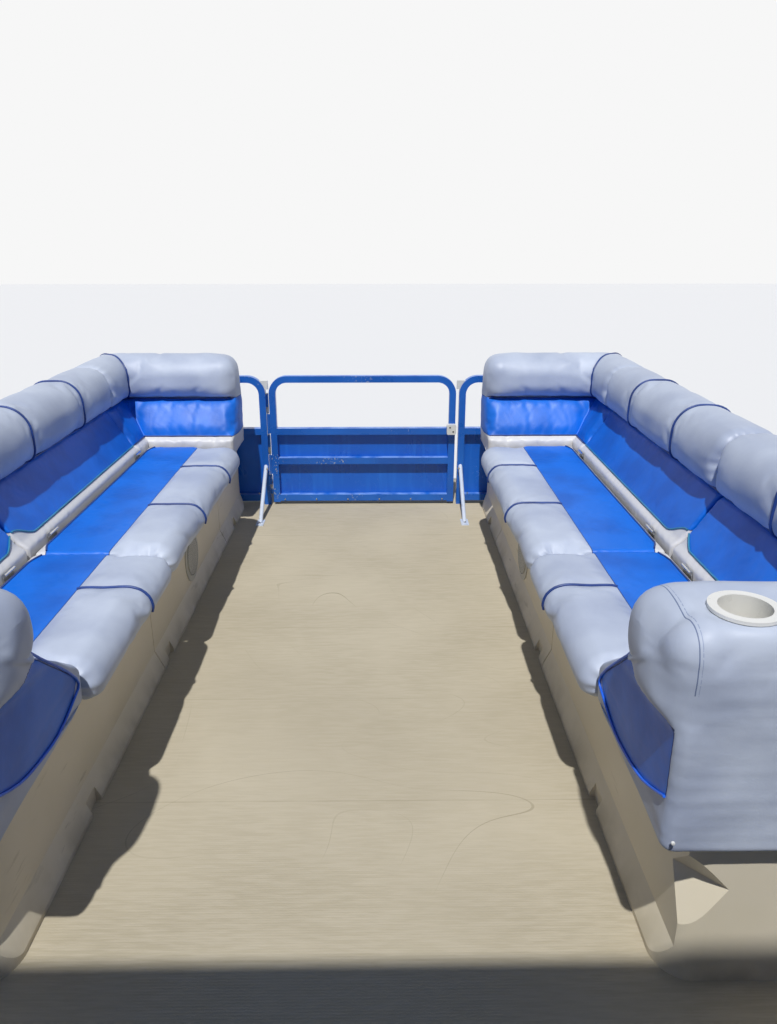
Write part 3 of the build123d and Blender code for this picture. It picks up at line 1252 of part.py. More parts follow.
def all_parts():
    """Every node and its solids."""
    parts = {
        "pontoons": both(pontoon()),
        "deck_beams": deck_beams(),
        "deck_board": deck_board(),
        "deck_trim": deck_trim(),
        "motor_pod": motor_pod(),
        "fence_bow": fence_runs("fence_bow"),
        "fence_sides": fence_runs("fence_sides"),
        "fence_stern": fence_runs("fence_stern"),
        "fence_panels": fence_panels(),
        "fence_braces": fence_braces(),
        "gate_bumpers": gate_bumpers(),
        "gate_hinge_pins": gate_hinge_pins(),
        "lounge_bases": both(up(lounge_base())),
        "aft_bench_base": [port_of(up(base_block(BENCH_AFT_Y + BENCH_OVERHANG, BENCH_BOW_Y - BENCH_OVERHANG,
                                                 BENCH_HOLLOWS)))],
        "cup_holders": both(up(cup_holder())),
        "speakers": both(up(speaker())),
        "cleats": cleats(),
        "nav_lights": nav_lights(),
        "bow_eyes": bow_eyes(),
        "helm_console": helm_console(),
        "windscreen": windscreen(),
        "throttle_box": throttle_box(),
        "helm_pedestal": helm_pedestal(),
        "helm_seat": helm_seat(),
        "steering_wheel": steering_wheel(),
        "outboard_clamp": outboard_clamp(),
        "outboard_swivel": outboard_swivel(),
        "outboard_leg": outboard_leg(),
        "outboard_cowl": outboard_cowl(),
        "propeller": propeller(),
        "bimini_mounts": bimini_mounts(),
        "bimini_straps": bimini_straps(),
        "bimini_main_bow": bimini_main_bow(),
        "bimini_front_bow": [up(bow_tube(FRONT_HINGE, FRONT_BOW_Y))],
        "bimini_rear_bow": [up(bow_tube(REAR_HINGE, REAR_BOW_Y))],
        "bimini_canvas": bimini_canvas(),
    }
    parts.update(gate_parts())
    parts.update(seat_parts())
    parts.update(back_parts())
    return parts


os.makedirs("parts", exist_ok=True)
for node, solids in all_parts().items():
    body = solids[0] if len(solids) == 1 else Compound(children=list(solids))
    export_step(body, "parts/" + node + ".step")
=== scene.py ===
import bpy
import bmesh
import json
from math import atan2, cos, exp, hypot, pi, radians, sin, tan
from mathutils import Matrix, Vector, noise
from mathutils.bvhtree import BVHTree


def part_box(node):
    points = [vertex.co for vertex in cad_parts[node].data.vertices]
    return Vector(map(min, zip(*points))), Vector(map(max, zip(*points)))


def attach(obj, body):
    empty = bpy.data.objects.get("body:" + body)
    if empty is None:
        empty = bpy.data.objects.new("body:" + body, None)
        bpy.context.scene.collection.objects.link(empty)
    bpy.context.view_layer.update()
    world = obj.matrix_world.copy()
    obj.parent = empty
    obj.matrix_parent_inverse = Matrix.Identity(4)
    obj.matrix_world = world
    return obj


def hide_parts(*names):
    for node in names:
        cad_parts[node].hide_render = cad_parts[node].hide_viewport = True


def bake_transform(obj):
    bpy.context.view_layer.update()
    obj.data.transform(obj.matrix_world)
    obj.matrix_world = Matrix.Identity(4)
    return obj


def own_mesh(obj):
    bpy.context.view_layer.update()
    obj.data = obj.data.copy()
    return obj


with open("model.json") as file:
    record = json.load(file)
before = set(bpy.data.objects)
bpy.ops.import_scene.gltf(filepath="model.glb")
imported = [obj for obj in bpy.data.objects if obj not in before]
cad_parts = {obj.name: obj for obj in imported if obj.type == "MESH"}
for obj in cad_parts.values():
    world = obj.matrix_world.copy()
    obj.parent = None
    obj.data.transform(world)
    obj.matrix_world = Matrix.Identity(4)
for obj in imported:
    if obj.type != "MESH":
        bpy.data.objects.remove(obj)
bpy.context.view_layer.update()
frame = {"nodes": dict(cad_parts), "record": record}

# Pontoon boat in metres: +Y to the bow, +X to starboard, +Z up, with the waterline at zero
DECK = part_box("fence_bow")[0].z
NODES = frame["nodes"]


# Colour and materials

def linear(hexcode, alpha=1.0):
    """Linear colour of an sRGB hex value."""
    parts = [int(hexcode[i:i + 2], 16) / 255 for i in (0, 2, 4)]
    return (*[c / 12.92 if c <= 0.04045 else ((c + 0.055) / 1.055) ** 2.4 for c in parts], alpha)


def add(tree, kind, values=None, links=None, **settings):
    """Shader node with its settings, the values of its sockets and the outputs that feed them."""
    made = tree.nodes.new("ShaderNode" + kind)
    for name, value in settings.items():
        setattr(made, name, value)
    for name, value in (values or {}).items():
        made.inputs[name].default_value = value
    for name, source in (links or {}).items():
        tree.links.new(source, made.inputs[name])
    return made


def finish(name, **values):
    """Material with one Principled shader, and the object's own coordinates."""
    made = bpy.data.materials.new(name)
    made.use_nodes = True
    tree = made.node_tree
    shader = tree.nodes["Principled BSDF"]
    for key, value in values.items():
        shader.inputs[key.replace("_", " ")].default_value = value
    where = add(tree, "TexCoord").outputs["Object"]
    return made, tree, shader, where


def paint(node_name, made):
    """Gives a CAD node its material."""
    slots = NODES[node_name].data.materials
    slots.clear()
    slots.append(made)


def surfaced(name, tones, patch, rough, grain, depth, stretch=(1, 1, 1), **values):
    """Material whose colour and gloss drift in patches over a fine grain. Its sizes are in millimetres."""
    made, tree, shader, where = finish(name, **values)
    run = add(tree, "Mapping", {"Scale": stretch}, {"Vector": where}).outputs[0]
    cloud = add(tree, "TexNoise", {"Scale": 1000 / patch, "Detail": 6.0}, {"Vector": run}).outputs["Fac"]
    share = add(tree, "MapRange", {1: 0.35, 2: 0.65}, {0: cloud}).outputs[0]
    tone = add(tree, "Mix", {6: linear(tones[0]), 7: linear(tones[1])}, {0: share}, data_type="RGBA")
    gloss = add(tree, "MapRange", {3: rough[0], 4: rough[1]}, {0: share})
    fine = add(tree, "TexNoise", {"Scale": 1000 / grain, "Detail": 3.0}, {"Vector": run}).outputs["Fac"]
    bump = add(tree, "Bump", {"Strength": 0.6, "Distance": depth / 1000}, {"Height": fine})
    tree.links.new(tone.outputs[2], shader.inputs["Base Color"])
    tree.links.new(gloss.outputs[0], shader.inputs["Roughness"])
    tree.links.new(bump.outputs[0], shader.inputs["Normal"])
    return made, tree, shader, where


def cover(tree, shader, share, colour, rough):
    """Lays a second colour and gloss over a surface where share is 1."""
    tone, gloss = (shader.inputs[name].links[0].from_socket for name in ("Base Color", "Roughness"))
    over = add(tree, "Mix", {7: linear(colour)}, {0: share, 6: tone}, data_type="RGBA")
    duller = add(tree, "Mix", {3: rough}, {0: share, 2: gloss})
    tree.links.new(over.outputs[2], shader.inputs["Base Color"])
    tree.links.new(duller.outputs[0], shader.inputs["Roughness"])


def relief(tree, shader, height, depth):
    """Adds a bump of a depth in millimetres to the one that a surface has."""
    under = shader.inputs["Normal"].links[0].from_socket
    bump = add(tree, "Bump", {"Strength": 0.8, "Distance": depth / 1000}, {"Height": height, "Normal": under})
    tree.links.new(bump.outputs[0], shader.inputs["Normal"])


def where_noise(tree, where, size, low, high, stretch=(1, 1, 1), detail=4.0, most=1.0):
    """Share of a surface, up to the most, where a noise of a size in millimetres rises from low to high."""
    run = add(tree, "Mapping", {"Scale": stretch}, {"Vector": where}).outputs[0]
    cloud = add(tree, "TexNoise", {"Scale": 1000 / size, "Detail": detail}, {"Vector": run}).outputs["Fac"]
    return add(tree, "MapRange", {1: low, 2: high, 4: most}, {0: cloud}).outputs[0]


def product(tree, *shares):
    """Share where all of several shares meet."""
    met = shares[0]
    for share in shares[1:]:
        met = add(tree, "Math", links={0: met, 1: share}, operation="MULTIPLY").outputs[0]
    return met


def within(tree, value, low, high):
    """1 where a value lies between two limits, else 0."""
    above = add(tree, "Math", {1: low}, {0: value}, operation="GREATER_THAN").outputs[0]
    below = add(tree, "Math", {1: high}, {0: value}, operation="LESS_THAN").outputs[0]
    return product(tree, above, below)


def scratches(tree, where, swirl, apart, width, share):
    """Share of a surface under long scratches: the level lines of a swirl, where a share lets them show."""
    cloud = add(tree, "TexNoise", swirl, {"Vector": where}).outputs["Fac"]
    level = add(tree, "Math", {1: apart}, {0: cloud}, operation="PINGPONG").outputs[0]
    return product(tree, within(tree, level, -1.0, width), share)


def stripes(spacing):
    """Scale of a Wave texture whose bands repeat at a spacing in millimetres."""
    return 0.314 / (spacing / 1000)


def mill_aluminium():
    """Sheet aluminium as it leaves the mill: a soft sheen, drawn out along the boat, with handling marks."""
    made, tree, shader, where = surfaced("mill_aluminium", ("B0B3B6", "C3C6C9"), 420, (0.38, 0.52), 26, 0.04,
                                         stretch=(6, 1, 6), Metallic=1.0)
    cover(tree, shader, where_noise(tree, where, 900, 0.55, 0.72), "8F9498", 0.60)
    return made


def deck_weave():
    """Woven PVC floor: threads run across the boat, over faint joints of the boards under it.

    A thread is 1.5 mm, drawn at 6 mm so that it shows.
    """
    made, tree, shader, where = surfaced("woven_pvc", ("B2A78E", "C1B69D"), 520, (0.78, 0.92), 5, 0.12)
    cover(tree, shader, where_noise(tree, where, 60, 0.38, 0.64, stretch=(1, 9, 1), most=0.4), "CABFA8", 0.85)
    threads = add(tree, "TexWave", {"Scale": stripes(6), "Distortion": 2.4, "Detail Scale": 3.0},
                  {"Vector": where}, wave_type="BANDS", bands_direction="Y")
    relief(tree, shader, threads.outputs["Fac"], 0.16)
    along = add(tree, "SeparateXYZ", links={0: where}).outputs[1]
    from_joint = add(tree, "Math", {1: DECK_JOINT}, {0: along}, operation="SUBTRACT").outputs[0]
    step = add(tree, "Math", {1: DECK_JOINTS_APART / 2}, {0: from_joint}, operation="PINGPONG").outputs[0]
    worn = where_noise(tree, where, 300, 0.40, 0.60, most=0.45)
    cover(tree, shader, product(tree, within(tree, step, -1.0, 0.0022), worn), "9C9178", 0.9)
    line = scratches(tree, where, {"Scale": 0.9, "Detail": 1.0, "Distortion": 0.9}, 0.035, 0.0005,
                     where_noise(tree, where, 520, 0.50, 0.66, most=0.6))
    cover(tree, shader, line, "8C8168", 0.75)
    cover(tree, shader, where_noise(tree, where, 700, 0.50, 0.78, most=0.35), "A59A83", 0.88)
    return made


def enamel(name, tones, top_highlight):
    """Gloss enamel on aluminium: a painted highlight, paler blue in patches where it faces the sky, and
    chipped to the metal in small spots.
    """
    made, tree, shader, where = surfaced(name, tones, 240, (0.22, 0.36), 8, 0.03)
    facing = add(tree, "SeparateXYZ", links={0: where.node.outputs["Normal"]}).outputs[2]
    upward = add(tree, "MapRange", {1: 0.45, 2: 0.95, 4: top_highlight}, {0: facing}).outputs[0]
    # Painted highlight: paler blue in patches on the faces that look up
    cover(tree, shader, product(tree, upward, where_noise(tree, where, 70, 0.36, 0.60)), "8DB2EA", 0.42)
    chips = product(tree, where_noise(tree, where, 12, 0.60, 0.62), where_noise(tree, where, 200, 0.58, 0.64))
    cover(tree, shader, chips, "C3CCD8", 0.38)
    metal = add(tree, "Math", {1: 0.9}, {0: chips}, operation="MULTIPLY").outputs[0]
    tree.links.new(metal, shader.inputs["Metallic"])
    return made


def panel_enamel():
    """The same enamel on thin sheet: flatter, with rain streaks down it and a few long scratches."""
    made, tree, shader, where = surfaced("sheet_enamel", ("0C5CC0", "1266CC"), 300, (0.24, 0.40), 40, 0.25)
    streaks = where_noise(tree, where, 90, 0.52, 0.72, stretch=(3, 3, 0.3), most=0.45)
    cover(tree, shader, streaks, "2474D6", 0.40)
    line = scratches(tree, where, {"Scale": 3.0, "Distortion": 1.5}, 0.05, 0.0007,
                     where_noise(tree, where, 200, 0.52, 0.62, most=0.5))
    cover(tree, shader, line, "7D9FDA", 0.45)
    return made


def hinge_steel():
    """Stainless hinge strip under old paint: blue in part, bare in part, with brown stains from its pins."""
    made, tree, shader, where = surfaced("hinge_stainless", ("8E9297", "B4B8BC"), 30, (0.28, 0.42), 2, 0.03,
                                         Metallic=0.9)
    cover(tree, shader, where_noise(tree, where, 34, 0.44, 0.50), "2F62B4", 0.36)
    cover(tree, shader, where_noise(tree, where, 22, 0.60, 0.66, detail=6.0), "6E4326", 0.75)
    return made


def base_plastic():
    """Rotationally moulded polyethylene: waxy, an orange-peel skin of 3 mm, scuffed, and dusty low down."""
    made, tree, shader, where = surfaced("polyethylene", ("E0D5BB", "EADFC9"), 480, (0.40, 0.54), 3.2, 0.14)
    height = add(tree, "SeparateXYZ", links={0: where}).outputs[2]
    low = add(tree, "MapRange", {1: DECK + 0.07, 2: DECK, 4: 0.6}, {0: height}).outputs[0]
    cover(tree, shader, product(tree, low, where_noise(tree, where, 90, 0.35, 0.65)), "A2977D", 0.72)
    scuffs = where_noise(tree, where, 40, 0.62, 0.70, stretch=(1, 0.35, 2.2))
    cover(tree, shader, product(tree, scuffs, where_noise(tree, where, 500, 0.45, 0.60)), "B8AC91", 0.62)
    return made


def speaker_abs():
    """Moulded ABS ring with a grille of 4 mm holes, drawn at 7 mm so that they show. The holes are dark dots
    of painted shade.
    """
    made, tree, shader, where = surfaced("speaker_abs", ("BDBAB0", "CAC7BD"), 70, (0.46, 0.58), 1.6, 0.05)
    low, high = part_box("speakers")
    centre = (0, -(low.y + high.y) / 2, -(low.z + high.z) / 2)
    flat = add(tree, "Mapping", {"Location": centre, "Scale": (0, 1, 1)}, {"Vector": where}).outputs[0]
    dots = add(tree, "TexVoronoi", {"Scale": 1000 / 7, "Randomness": 0.0}, {"Vector": flat})
    round_dots = within(tree, dots.outputs["Distance"], -1.0, 0.30)
    reach = add(tree, "VectorMath", links={0: flat}, operation="LENGTH").outputs["Value"]
    shaded_holes = product(tree, round_dots, within(tree, reach, -1.0, 0.070))
    # Painted shade: dark dots stand in for the shade inside the grille's openings
    cover(tree, shader, shaded_holes, "5E605E", 0.8)
    cover(tree, shader, within(tree, reach, 0.0705, 0.0735), "4E504F", 0.6)
    return made


def lamp_plastic():
    """Navigation lamps: black ABS with acrylic lenses, green and red at the bow and clear at the stern."""
    made, tree, shader, where = surfaced("lamp_abs", ("1B1C1E", "26272A"), 30, (0.30, 0.42), 1.5, 0.03)
    place = add(tree, "SeparateXYZ", links={0: where}).outputs
    lens = product(tree, within(tree, place[1], 2.9, 4.0), within(tree, place[2], DECK + 0.010, DECK + 0.040))
    cover(tree, shader, product(tree, lens, within(tree, place[0], 0.0, 2.0)), "1D8C4C", 0.12)
    cover(tree, shader, product(tree, lens, within(tree, place[0], -2.0, 0.0)), "B5231D", 0.12)
    stern = within(tree, place[1], -4.0, 0.0)
    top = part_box("nav_lights")[1].z
    cover(tree, shader, product(tree, stern, within(tree, place[2], 0.0, top - 0.045)), "B9BCBF", 0.3)
    cover(tree, shader, product(tree, stern, within(tree, place[2], top - 0.034, 3.0)), "DFE2E0", 0.1)
    return made


def console_gelcoat():
    """Glass fibre with a polished gelcoat: deep gloss, faint waves of the mould, and a dark dash panel."""
    made, tree, shader, where = surfaced("gelcoat", ("D2CFC5", "DBD8CF"), 380, (0.16, 0.24), 45, 0.10,
                                         Coat_Weight=0.4, Coat_Roughness=0.06)
    place = add(tree, "SeparateXYZ", links={0: where}).outputs
    facing = add(tree, "SeparateXYZ", links={0: where.node.outputs["Normal"]}).outputs[1]
    low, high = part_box("helm_console")
    dash = product(tree, within(tree, facing, -1.1, -0.80),
                   within(tree, place[0], low.x + 0.035, high.x - 0.035),
                   within(tree, place[2], DECK + 0.715, DECK + 0.905))
    cover(tree, shader, dash, "33363B", 0.5)
    return made


def screen_acrylic():
    """Cast acrylic sheet with a smoke tint: clear and very smooth."""
    made, tree, shader, where = finish("smoke_acrylic", Base_Color=linear("8A959D"), Roughness=0.03, IOR=1.49,
                                       Transmission_Weight=0.9)
    wipe = where_noise(tree, where, 120, 0.40, 0.70, stretch=(1, 1, 0.3))
    gloss = add(tree, "MapRange", {3: 0.02, 4: 0.10}, {0: wipe}).outputs[0]
    tree.links.new(gloss, shader.inputs["Roughness"])
    return made


def wheel_grip():
    """Soft moulded polyurethane with a leather grain of 3 mm."""
    made, tree, shader, where = surfaced("grip_polyurethane", ("1A1B1D", "242528"), 60, (0.46, 0.60), 2, 0.08)
    cells = add(tree, "TexVoronoi", {"Scale": 1000 / 3}, {"Vector": where}, feature="DISTANCE_TO_EDGE")
    relief(tree, shader, cells.outputs["Distance"], 0.15)
    return made


def motor_enamel():
    """Baked enamel under a clear coat: deep gloss, with a silver-grey band round the foot of the cover."""
    made, tree, shader, where = surfaced("motor_enamel", ("14171C", "1D2127"), 260, (0.16, 0.24), 18, 0.02,
                                         Coat_Weight=1.0, Coat_Roughness=0.05)
    height = add(tree, "SeparateXYZ", links={0: where}).outputs[2]
    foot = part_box("outboard_cowl")[0].z
    cover(tree, shader, within(tree, height, foot + 0.012, foot + 0.052), "8C9298", 0.28)
    cover(tree, shader, within(tree, height, foot + 0.118, foot + 0.122), "050607", 0.6)
    return made


def leg_enamel():
    """The same enamel on cast aluminium below the water: duller, with chalky grey spots."""
    made, tree, shader, where = surfaced("casting_enamel", ("191C21", "24282E"), 120, (0.30, 0.46), 5, 0.10)
    cover(tree, shader, where_noise(tree, where, 60, 0.62, 0.70), "5E646B", 0.55)
    return made


def anodised(name, stretch):
    """Satin anodised aluminium, drawn or turned: fine lines along the tool's way."""
    made, tree, shader, where = surfaced(name, ("B2B5B8", "CACCCE"), 60, (0.24, 0.34), 8, 0.03,
                                         stretch=stretch, Metallic=1.0)
    cover(tree, shader, where_noise(tree, where, 140, 0.62, 0.76), "8E9195", 0.46)
    return made


def moulded(name, tones, rough, grain):
    """Plastic from a polished mould, with hairline scuffs."""
    made, tree, shader, where = surfaced(name, tones, 90, rough, grain, 0.03)
    line = scratches(tree, where, {"Scale": 22.0, "Distortion": 2.0}, 0.06, 0.003,
                     where_noise(tree, where, 40, 0.50, 0.58))
    cover(tree, shader, line, tones[0], rough[1] + 0.2)
    return made


def stainless(name):
    """Polished marine stainless: mirror-like, with fine rub marks and a little tea staining."""
    made, tree, shader, where = surfaced(name, ("BFC1C2", "D2D3D3"), 40, (0.12, 0.22), 3, 0.02, Metallic=1.0)
    cover(tree, shader, where_noise(tree, where, 26, 0.66, 0.72, detail=6.0), "9A7A58", 0.5)
    return made


def vinyl():
    """Marine vinyl: PVC on cloth, semi-gloss, with a fine grain, shallow creases and a worn tone in places.

    Blue and white carry the distance inside a panel of that colour, in metres. Stitch carries 10 plus the
    distance from a sewn seam.
    """
    made, tree, shader, where = surfaced("marine_vinyl", ("ABB4C7", "C5CDDB"), 210, (0.42, 0.52), 3.5, 0.06,
                                         IOR=1.45)
    facts = {name: add(tree, "Attribute", attribute_name=name).outputs["Fac"]
             for name in ("blue", "white", "stitch")}
    is_blue = within(tree, facts["blue"], 0.0, 9.0)
    cover(tree, shader, within(tree, facts["white"], 0.0, 9.0), "DAD8D6", 0.42)
    cover(tree, shader, is_blue, "006EDA", 0.44)
    deeper = product(tree, is_blue, where_noise(tree, where, 160, 0.42, 0.66, most=0.75))
    cover(tree, shader, deeper, "0057B8", 0.48)
    cover(tree, shader, within(tree, facts["blue"], -0.0014, 0.0014), "27427C", 0.6)
    cover(tree, shader, within(tree, facts["stitch"], 9.9991, 10.0009), "6F7C9A", 0.6)
    thread = product(tree, within(tree, facts["stitch"], 10.0045, 10.0057),
                     where_noise(tree, where, 5, 0.42, 0.46))
    cover(tree, shader, thread, "98A4BE", 0.6)
    grey = within(tree, facts["blue"], -9.0, 0.0)
    worn = product(tree, grey, where_noise(tree, where, 700, 0.52, 0.75, most=0.30))
    cover(tree, shader, worn, "98A2BA", 0.46)
    crease = add(tree, "TexNoise", {"Scale": 24.0, "Detail": 6.0, "Distortion": 1.0}, {"Vector": where})
    relief(tree, shader, crease.outputs["Fac"], 0.7)
    return made


def piping_vinyl(name, tones):
    """Vinyl welt over cord: smooth, lighter in patches where it is rubbed."""
    return surfaced(name, tones, 60, (0.34, 0.46), 2, 0.05)[0]


def canopy_canvas():
    """Solution-dyed acrylic canvas, plain weave, with stitched hems and sleeves.

    A thread is 0.4 mm, drawn at 3 mm so that it shows.
    """
    made, tree, shader = surfaced("acrylic_canvas", ("1A3A82", "23509F"), 320, (0.78, 0.92), 3, 0.06,
                                  Sheen_Weight=0.15)[:3]
    facts = {name: add(tree, "Attribute", attribute_name=name).outputs["Fac"]
             for name in ("across", "along", "hem", "sleeve")}
    cloth = add(tree, "CombineXYZ", links={0: facts["across"], 1: facts["along"]}).outputs[0]
    warp, weft = (add(tree, "TexWave", {"Scale": stripes(3)}, {"Vector": cloth}, bands_direction=way)
                  for way in ("X", "Y"))
    relief(tree, shader, product(tree, warp.outputs["Fac"], weft.outputs["Fac"]), 0.3)
    slubs = where_noise(tree, cloth, 30, 0.45, 0.70, stretch=(1, 12, 1), most=0.4)
    cover(tree, shader, slubs, "2C5BAE", 0.85)
    for name, low in (("hem", 0.0055), ("hem", 0.0240), ("sleeve", 0.0300)):
        cover(tree, shader, within(tree, facts[name], low, low + 0.0016), "5479BE", 0.7)
    return made


def webbing():
    """Woven polyester webbing: ribs across it, 2 mm apart, drawn at 5 mm."""
    made, tree, shader, where = surfaced("polyester_webbing", ("17191E", "24272E"), 50, (0.62, 0.80), 2, 0.10)
    ribs = add(tree, "TexWave", {"Scale": stripes(5)}, {"Vector": where}, bands_direction="Z")
    relief(tree, shader, ribs.outputs["Fac"], 0.6)
    return made


def dial_face():
    """Printed dial under acrylic: matt black with plain white scale marks."""
    made, tree, shader = surfaced("dial_print", ("121315", "1B1D20"), 30, (0.20, 0.30), 1.2, 0.01)[:3]
    facts = {name: add(tree, "Attribute", attribute_name=name).outputs["Fac"] for name in ("reach", "turn")}
    for spacing, width, inner in ((pi / 6, 0.045, 0.0245), (pi / 30, 0.016, 0.0285)):
        step = add(tree, "Math", {1: spacing / 2}, {0: facts["turn"]}, operation="PINGPONG").outputs[0]
        marks = product(tree, within(tree, step, -1.0, width), within(tree, facts["reach"], inner, 0.0315),
                        within(tree, facts["turn"], -2.4, 2.4))
        cover(tree, shader, marks, "E4E4E0", 0.4)
    return made


# Joints of the boards under the floor: the place of one, and how far apart they are
DECK_JOINT = 1.61
DECK_JOINTS_APART = 0.44

STAINLESS = stainless("polished_stainless")
WHITE_ABS = moulded("white_abs", ("D8D8D2", "E2E2DD"), (0.28, 0.40), 2)
BLACK_ABS = moulded("black_abs", ("1A1B1D", "232427"), (0.36, 0.50), 1.6)
GREY_PAINT = enamel("pale_enamel", ("C3CCDB", "D2DAE6"), 0.2)
TUBE = anodised("anodised_tube", (1, 1, 1))
FRAME_BLUE = enamel("gloss_enamel", ("155AB4", "1E6AC8"), 0.75)
MILL = mill_aluminium()
GELCOAT = console_gelcoat()
VINYL = vinyl()
NAVY = piping_vinyl("navy_welt", ("1B3570", "27478C"))
BRIGHT = piping_vinyl("bright_blue_welt", ("185CD2", "2873EA"))
TEAL = piping_vinyl("teal_welt", ("2A7896", "3A8DAA"))
CANVAS = canopy_canvas()
WEBBING = webbing()
DIAL = dial_face()
LEG_ENAMEL = leg_enamel()

FINISHES = {
    "float_aluminium": MILL, "deck_weave": deck_weave(), "fence_paint": FRAME_BLUE,
    "panel_paint": panel_enamel(), "brace_paint": GREY_PAINT, "bumper_plastic": WHITE_ABS,
    "hinge_steel": hinge_steel(), "base_plastic": base_plastic(), "seat_vinyl": VINYL, "back_vinyl": VINYL,
    "cup_plastic": moulded("cup_polypropylene", ("E3E1D9", "EBE9E2"), (0.24, 0.34), 3),
    "speaker_plastic": speaker_abs(), "cleat_metal": STAINLESS, "lamp_plastic": lamp_plastic(),
    "console_plastic": GELCOAT, "screen_acrylic": screen_acrylic(), "control_plastic": BLACK_ABS,
    "pedestal_metal": anodised("turned_pedestal", (1, 1, 12)), "motor_paint": motor_enamel(),
    "canopy_tube": TUBE, "canopy_canvas": CANVAS, "strap_webbing": WEBBING,
}
for row in frame["record"]["subparts"]:
    paint(row["node"], FINISHES[row["material_slot"]])
for node in ("outboard_leg", "outboard_swivel", "outboard_clamp", "propeller"):
    paint(node, LEG_ENAMEL)
paint("steering_wheel", wheel_grip())
paint("seat_hinges", STAINLESS)


# Padded pieces: drawn through sections, swelled as cloth under pressure, then sewn and piped

# Size of a cell, turns of a rounded end's rings, cells across a filled end, frames of a swelling
CELL = 0.0135
ROUND_TURNS = (0, 22, 44, 66)
CAP_STEPS = 5
SWELL_FRAMES = 20


def outline(corners):
    """Closed outline through (across, height, radius) corners, and the point number of each sharp corner."""
    count = len(corners)
    runs = []
    for i, (across, height, radius) in enumerate(corners):
        here = Vector((across, height))
        back = (Vector(corners[i - 1][:2]) - here).normalized()
        ahead = (Vector(corners[(i + 1) % count][:2]) - here).normalized()
        if radius == 0:
            runs.append([here])
            continue
        half = back.angle(ahead) / 2
        centre = here + (back + ahead).normalized() * (radius / sin(half))
        start = here + back * (radius / tan(half)) - centre
        end = here + ahead * (radius / tan(half)) - centre
        sweep = start.angle_signed(end)
        pieces = max(2, round(abs(sweep) * radius / CELL))
        runs.append([centre + (Matrix.Rotation(-sweep * k / pieces, 2) @ start) for k in range(pieces + 1)])
    points, sharp = [], []
    for i, run in enumerate(runs):
        sharp.append(len(points))
        points += run
        gap = runs[(i + 1) % count][0] - run[-1]
        pieces = max(1, round(gap.length / CELL))
        points += [run[-1] + gap * (k / pieces) for k in range(1, pieces)]
    if len(points) % 2:
        points.append(points[-1].lerp(points[0], 0.5))
    return points, sharp


def inset(p, amount, heart):
    """Point of a section moved towards its heart, a box of low and high corners, and never all the way."""
    aim = Vector((min(heart[2], max(heart[0], p.x)), min(heart[3], max(heart[1], p.y))))
    way = aim - p
    return p + way * min(0.75, amount / max(way.length, 1e-6))


def stations(marks):
    """Places about a cell apart from the first mark to the last, with one on each mark."""
    places = [marks[0]]
    for start, end in zip(marks, marks[1:]):
        pieces = max(1, round(abs(end - start) / CELL))
        places += [start + (end - start) * k / pieces for k in range(1, pieces + 1)]
    return places


def rings_of(section, marks, place, round_at, heart):
    """Rings of a straight piece between its first and last mark, its ends rounded by round_at(point, end)."""
    low, high = marks[0], marks[-1]
    radii = [(round_at(p, 0), round_at(p, 1)) for p in section]
    reach = [max(r[end] for r in radii) for end in (0, 1)]

    def rounding(end, share):
        along, shrink = 1 - cos(share), 1 - sin(share)
        return [place(high - r[1] * along if end else low + r[0] * along, inset(p, r[end] * shrink, heart))
                for p, r in zip(section, radii)]
    turns = [radians(turn) for turn in ROUND_TURNS]
    rings = [rounding(0, share) for share in turns]
    places = [None] * len(turns)
    for t in stations([low + reach[0], *marks[1:-1], high - reach[1]]):
        ring = []
        for p, r in zip(section, radii):
            fore = (reach[0] - r[0]) * fade(t - low - reach[0], 0.12)
            aft = (reach[1] - r[1]) * fade(high - reach[1] - t, 0.12)
            ring.append(place(t - fore + aft, p))
        rings.append(ring)
        places.append(t)
    rings += [rounding(1, share) for share in turns[::-1]]
    return rings, places + [None] * len(turns)


def fade(distance, reach):
    """From 1 at zero down to 0 at the reach, level at both ends."""
    x = min(1.0, max(0.0, distance / reach))
    return 1 - x * x * (3 - 2 * x)


def skin(name, rings):
    """Closed mesh through rings of points, each end filled by rows from side to side."""
    count = len(rings[0])
    vertices = [p for ring in rings for p in ring]
    faces = []
    for base in range(0, (len(rings) - 1) * count, count):
        faces += [(base + i, base + (i + 1) % count, base + count + (i + 1) % count, base + count + i)
                  for i in range(count)]
    for base in (0, (len(rings) - 1) * count):
        rows = [[base]]
        for i in range(1, count // 2):
            left, right = vertices[base + i], vertices[base + count - i]
            row = [base + i]
            for k in range(1, CAP_STEPS):
                row.append(len(vertices))
                vertices.append(left.lerp(right, k / CAP_STEPS))
            rows.append([*row, base + count - i])
        rows.append([base + count // 2])
        for near, far in zip(rows, rows[1:]):
            if len(near) == 1 or len(far) == 1:
                tip, row = (near[0], far) if len(near) == 1 else (far[0], near)
                faces += [(tip, row[k], row[k + 1]) for k in range(CAP_STEPS)]
            else:
                faces += [(near[k], near[k + 1], far[k + 1], far[k]) for k in range(CAP_STEPS)]
    mesh = bpy.data.meshes.new(name)
    mesh.from_pydata([tuple(v) for v in vertices], [], faces)
    piece = bpy.data.objects.new(name, mesh)
    bpy.context.collection.objects.link(piece)
    face_out(piece)
    return piece


def only(piece):
    """Selects one piece and makes it the active one."""
    bpy.ops.object.select_all(action="DESELECT")
    piece.select_set(True)
    bpy.context.view_layer.objects.active = piece


def face_out(piece):
    """Turns all faces outward and shades them smooth."""
    only(piece)
    bpy.ops.object.mode_set(mode="EDIT")
    bpy.ops.mesh.select_all(action="SELECT")
    bpy.ops.mesh.normals_make_consistent(inside=False)
    bpy.ops.object.mode_set(mode="OBJECT")
    bpy.ops.object.shade_smooth()


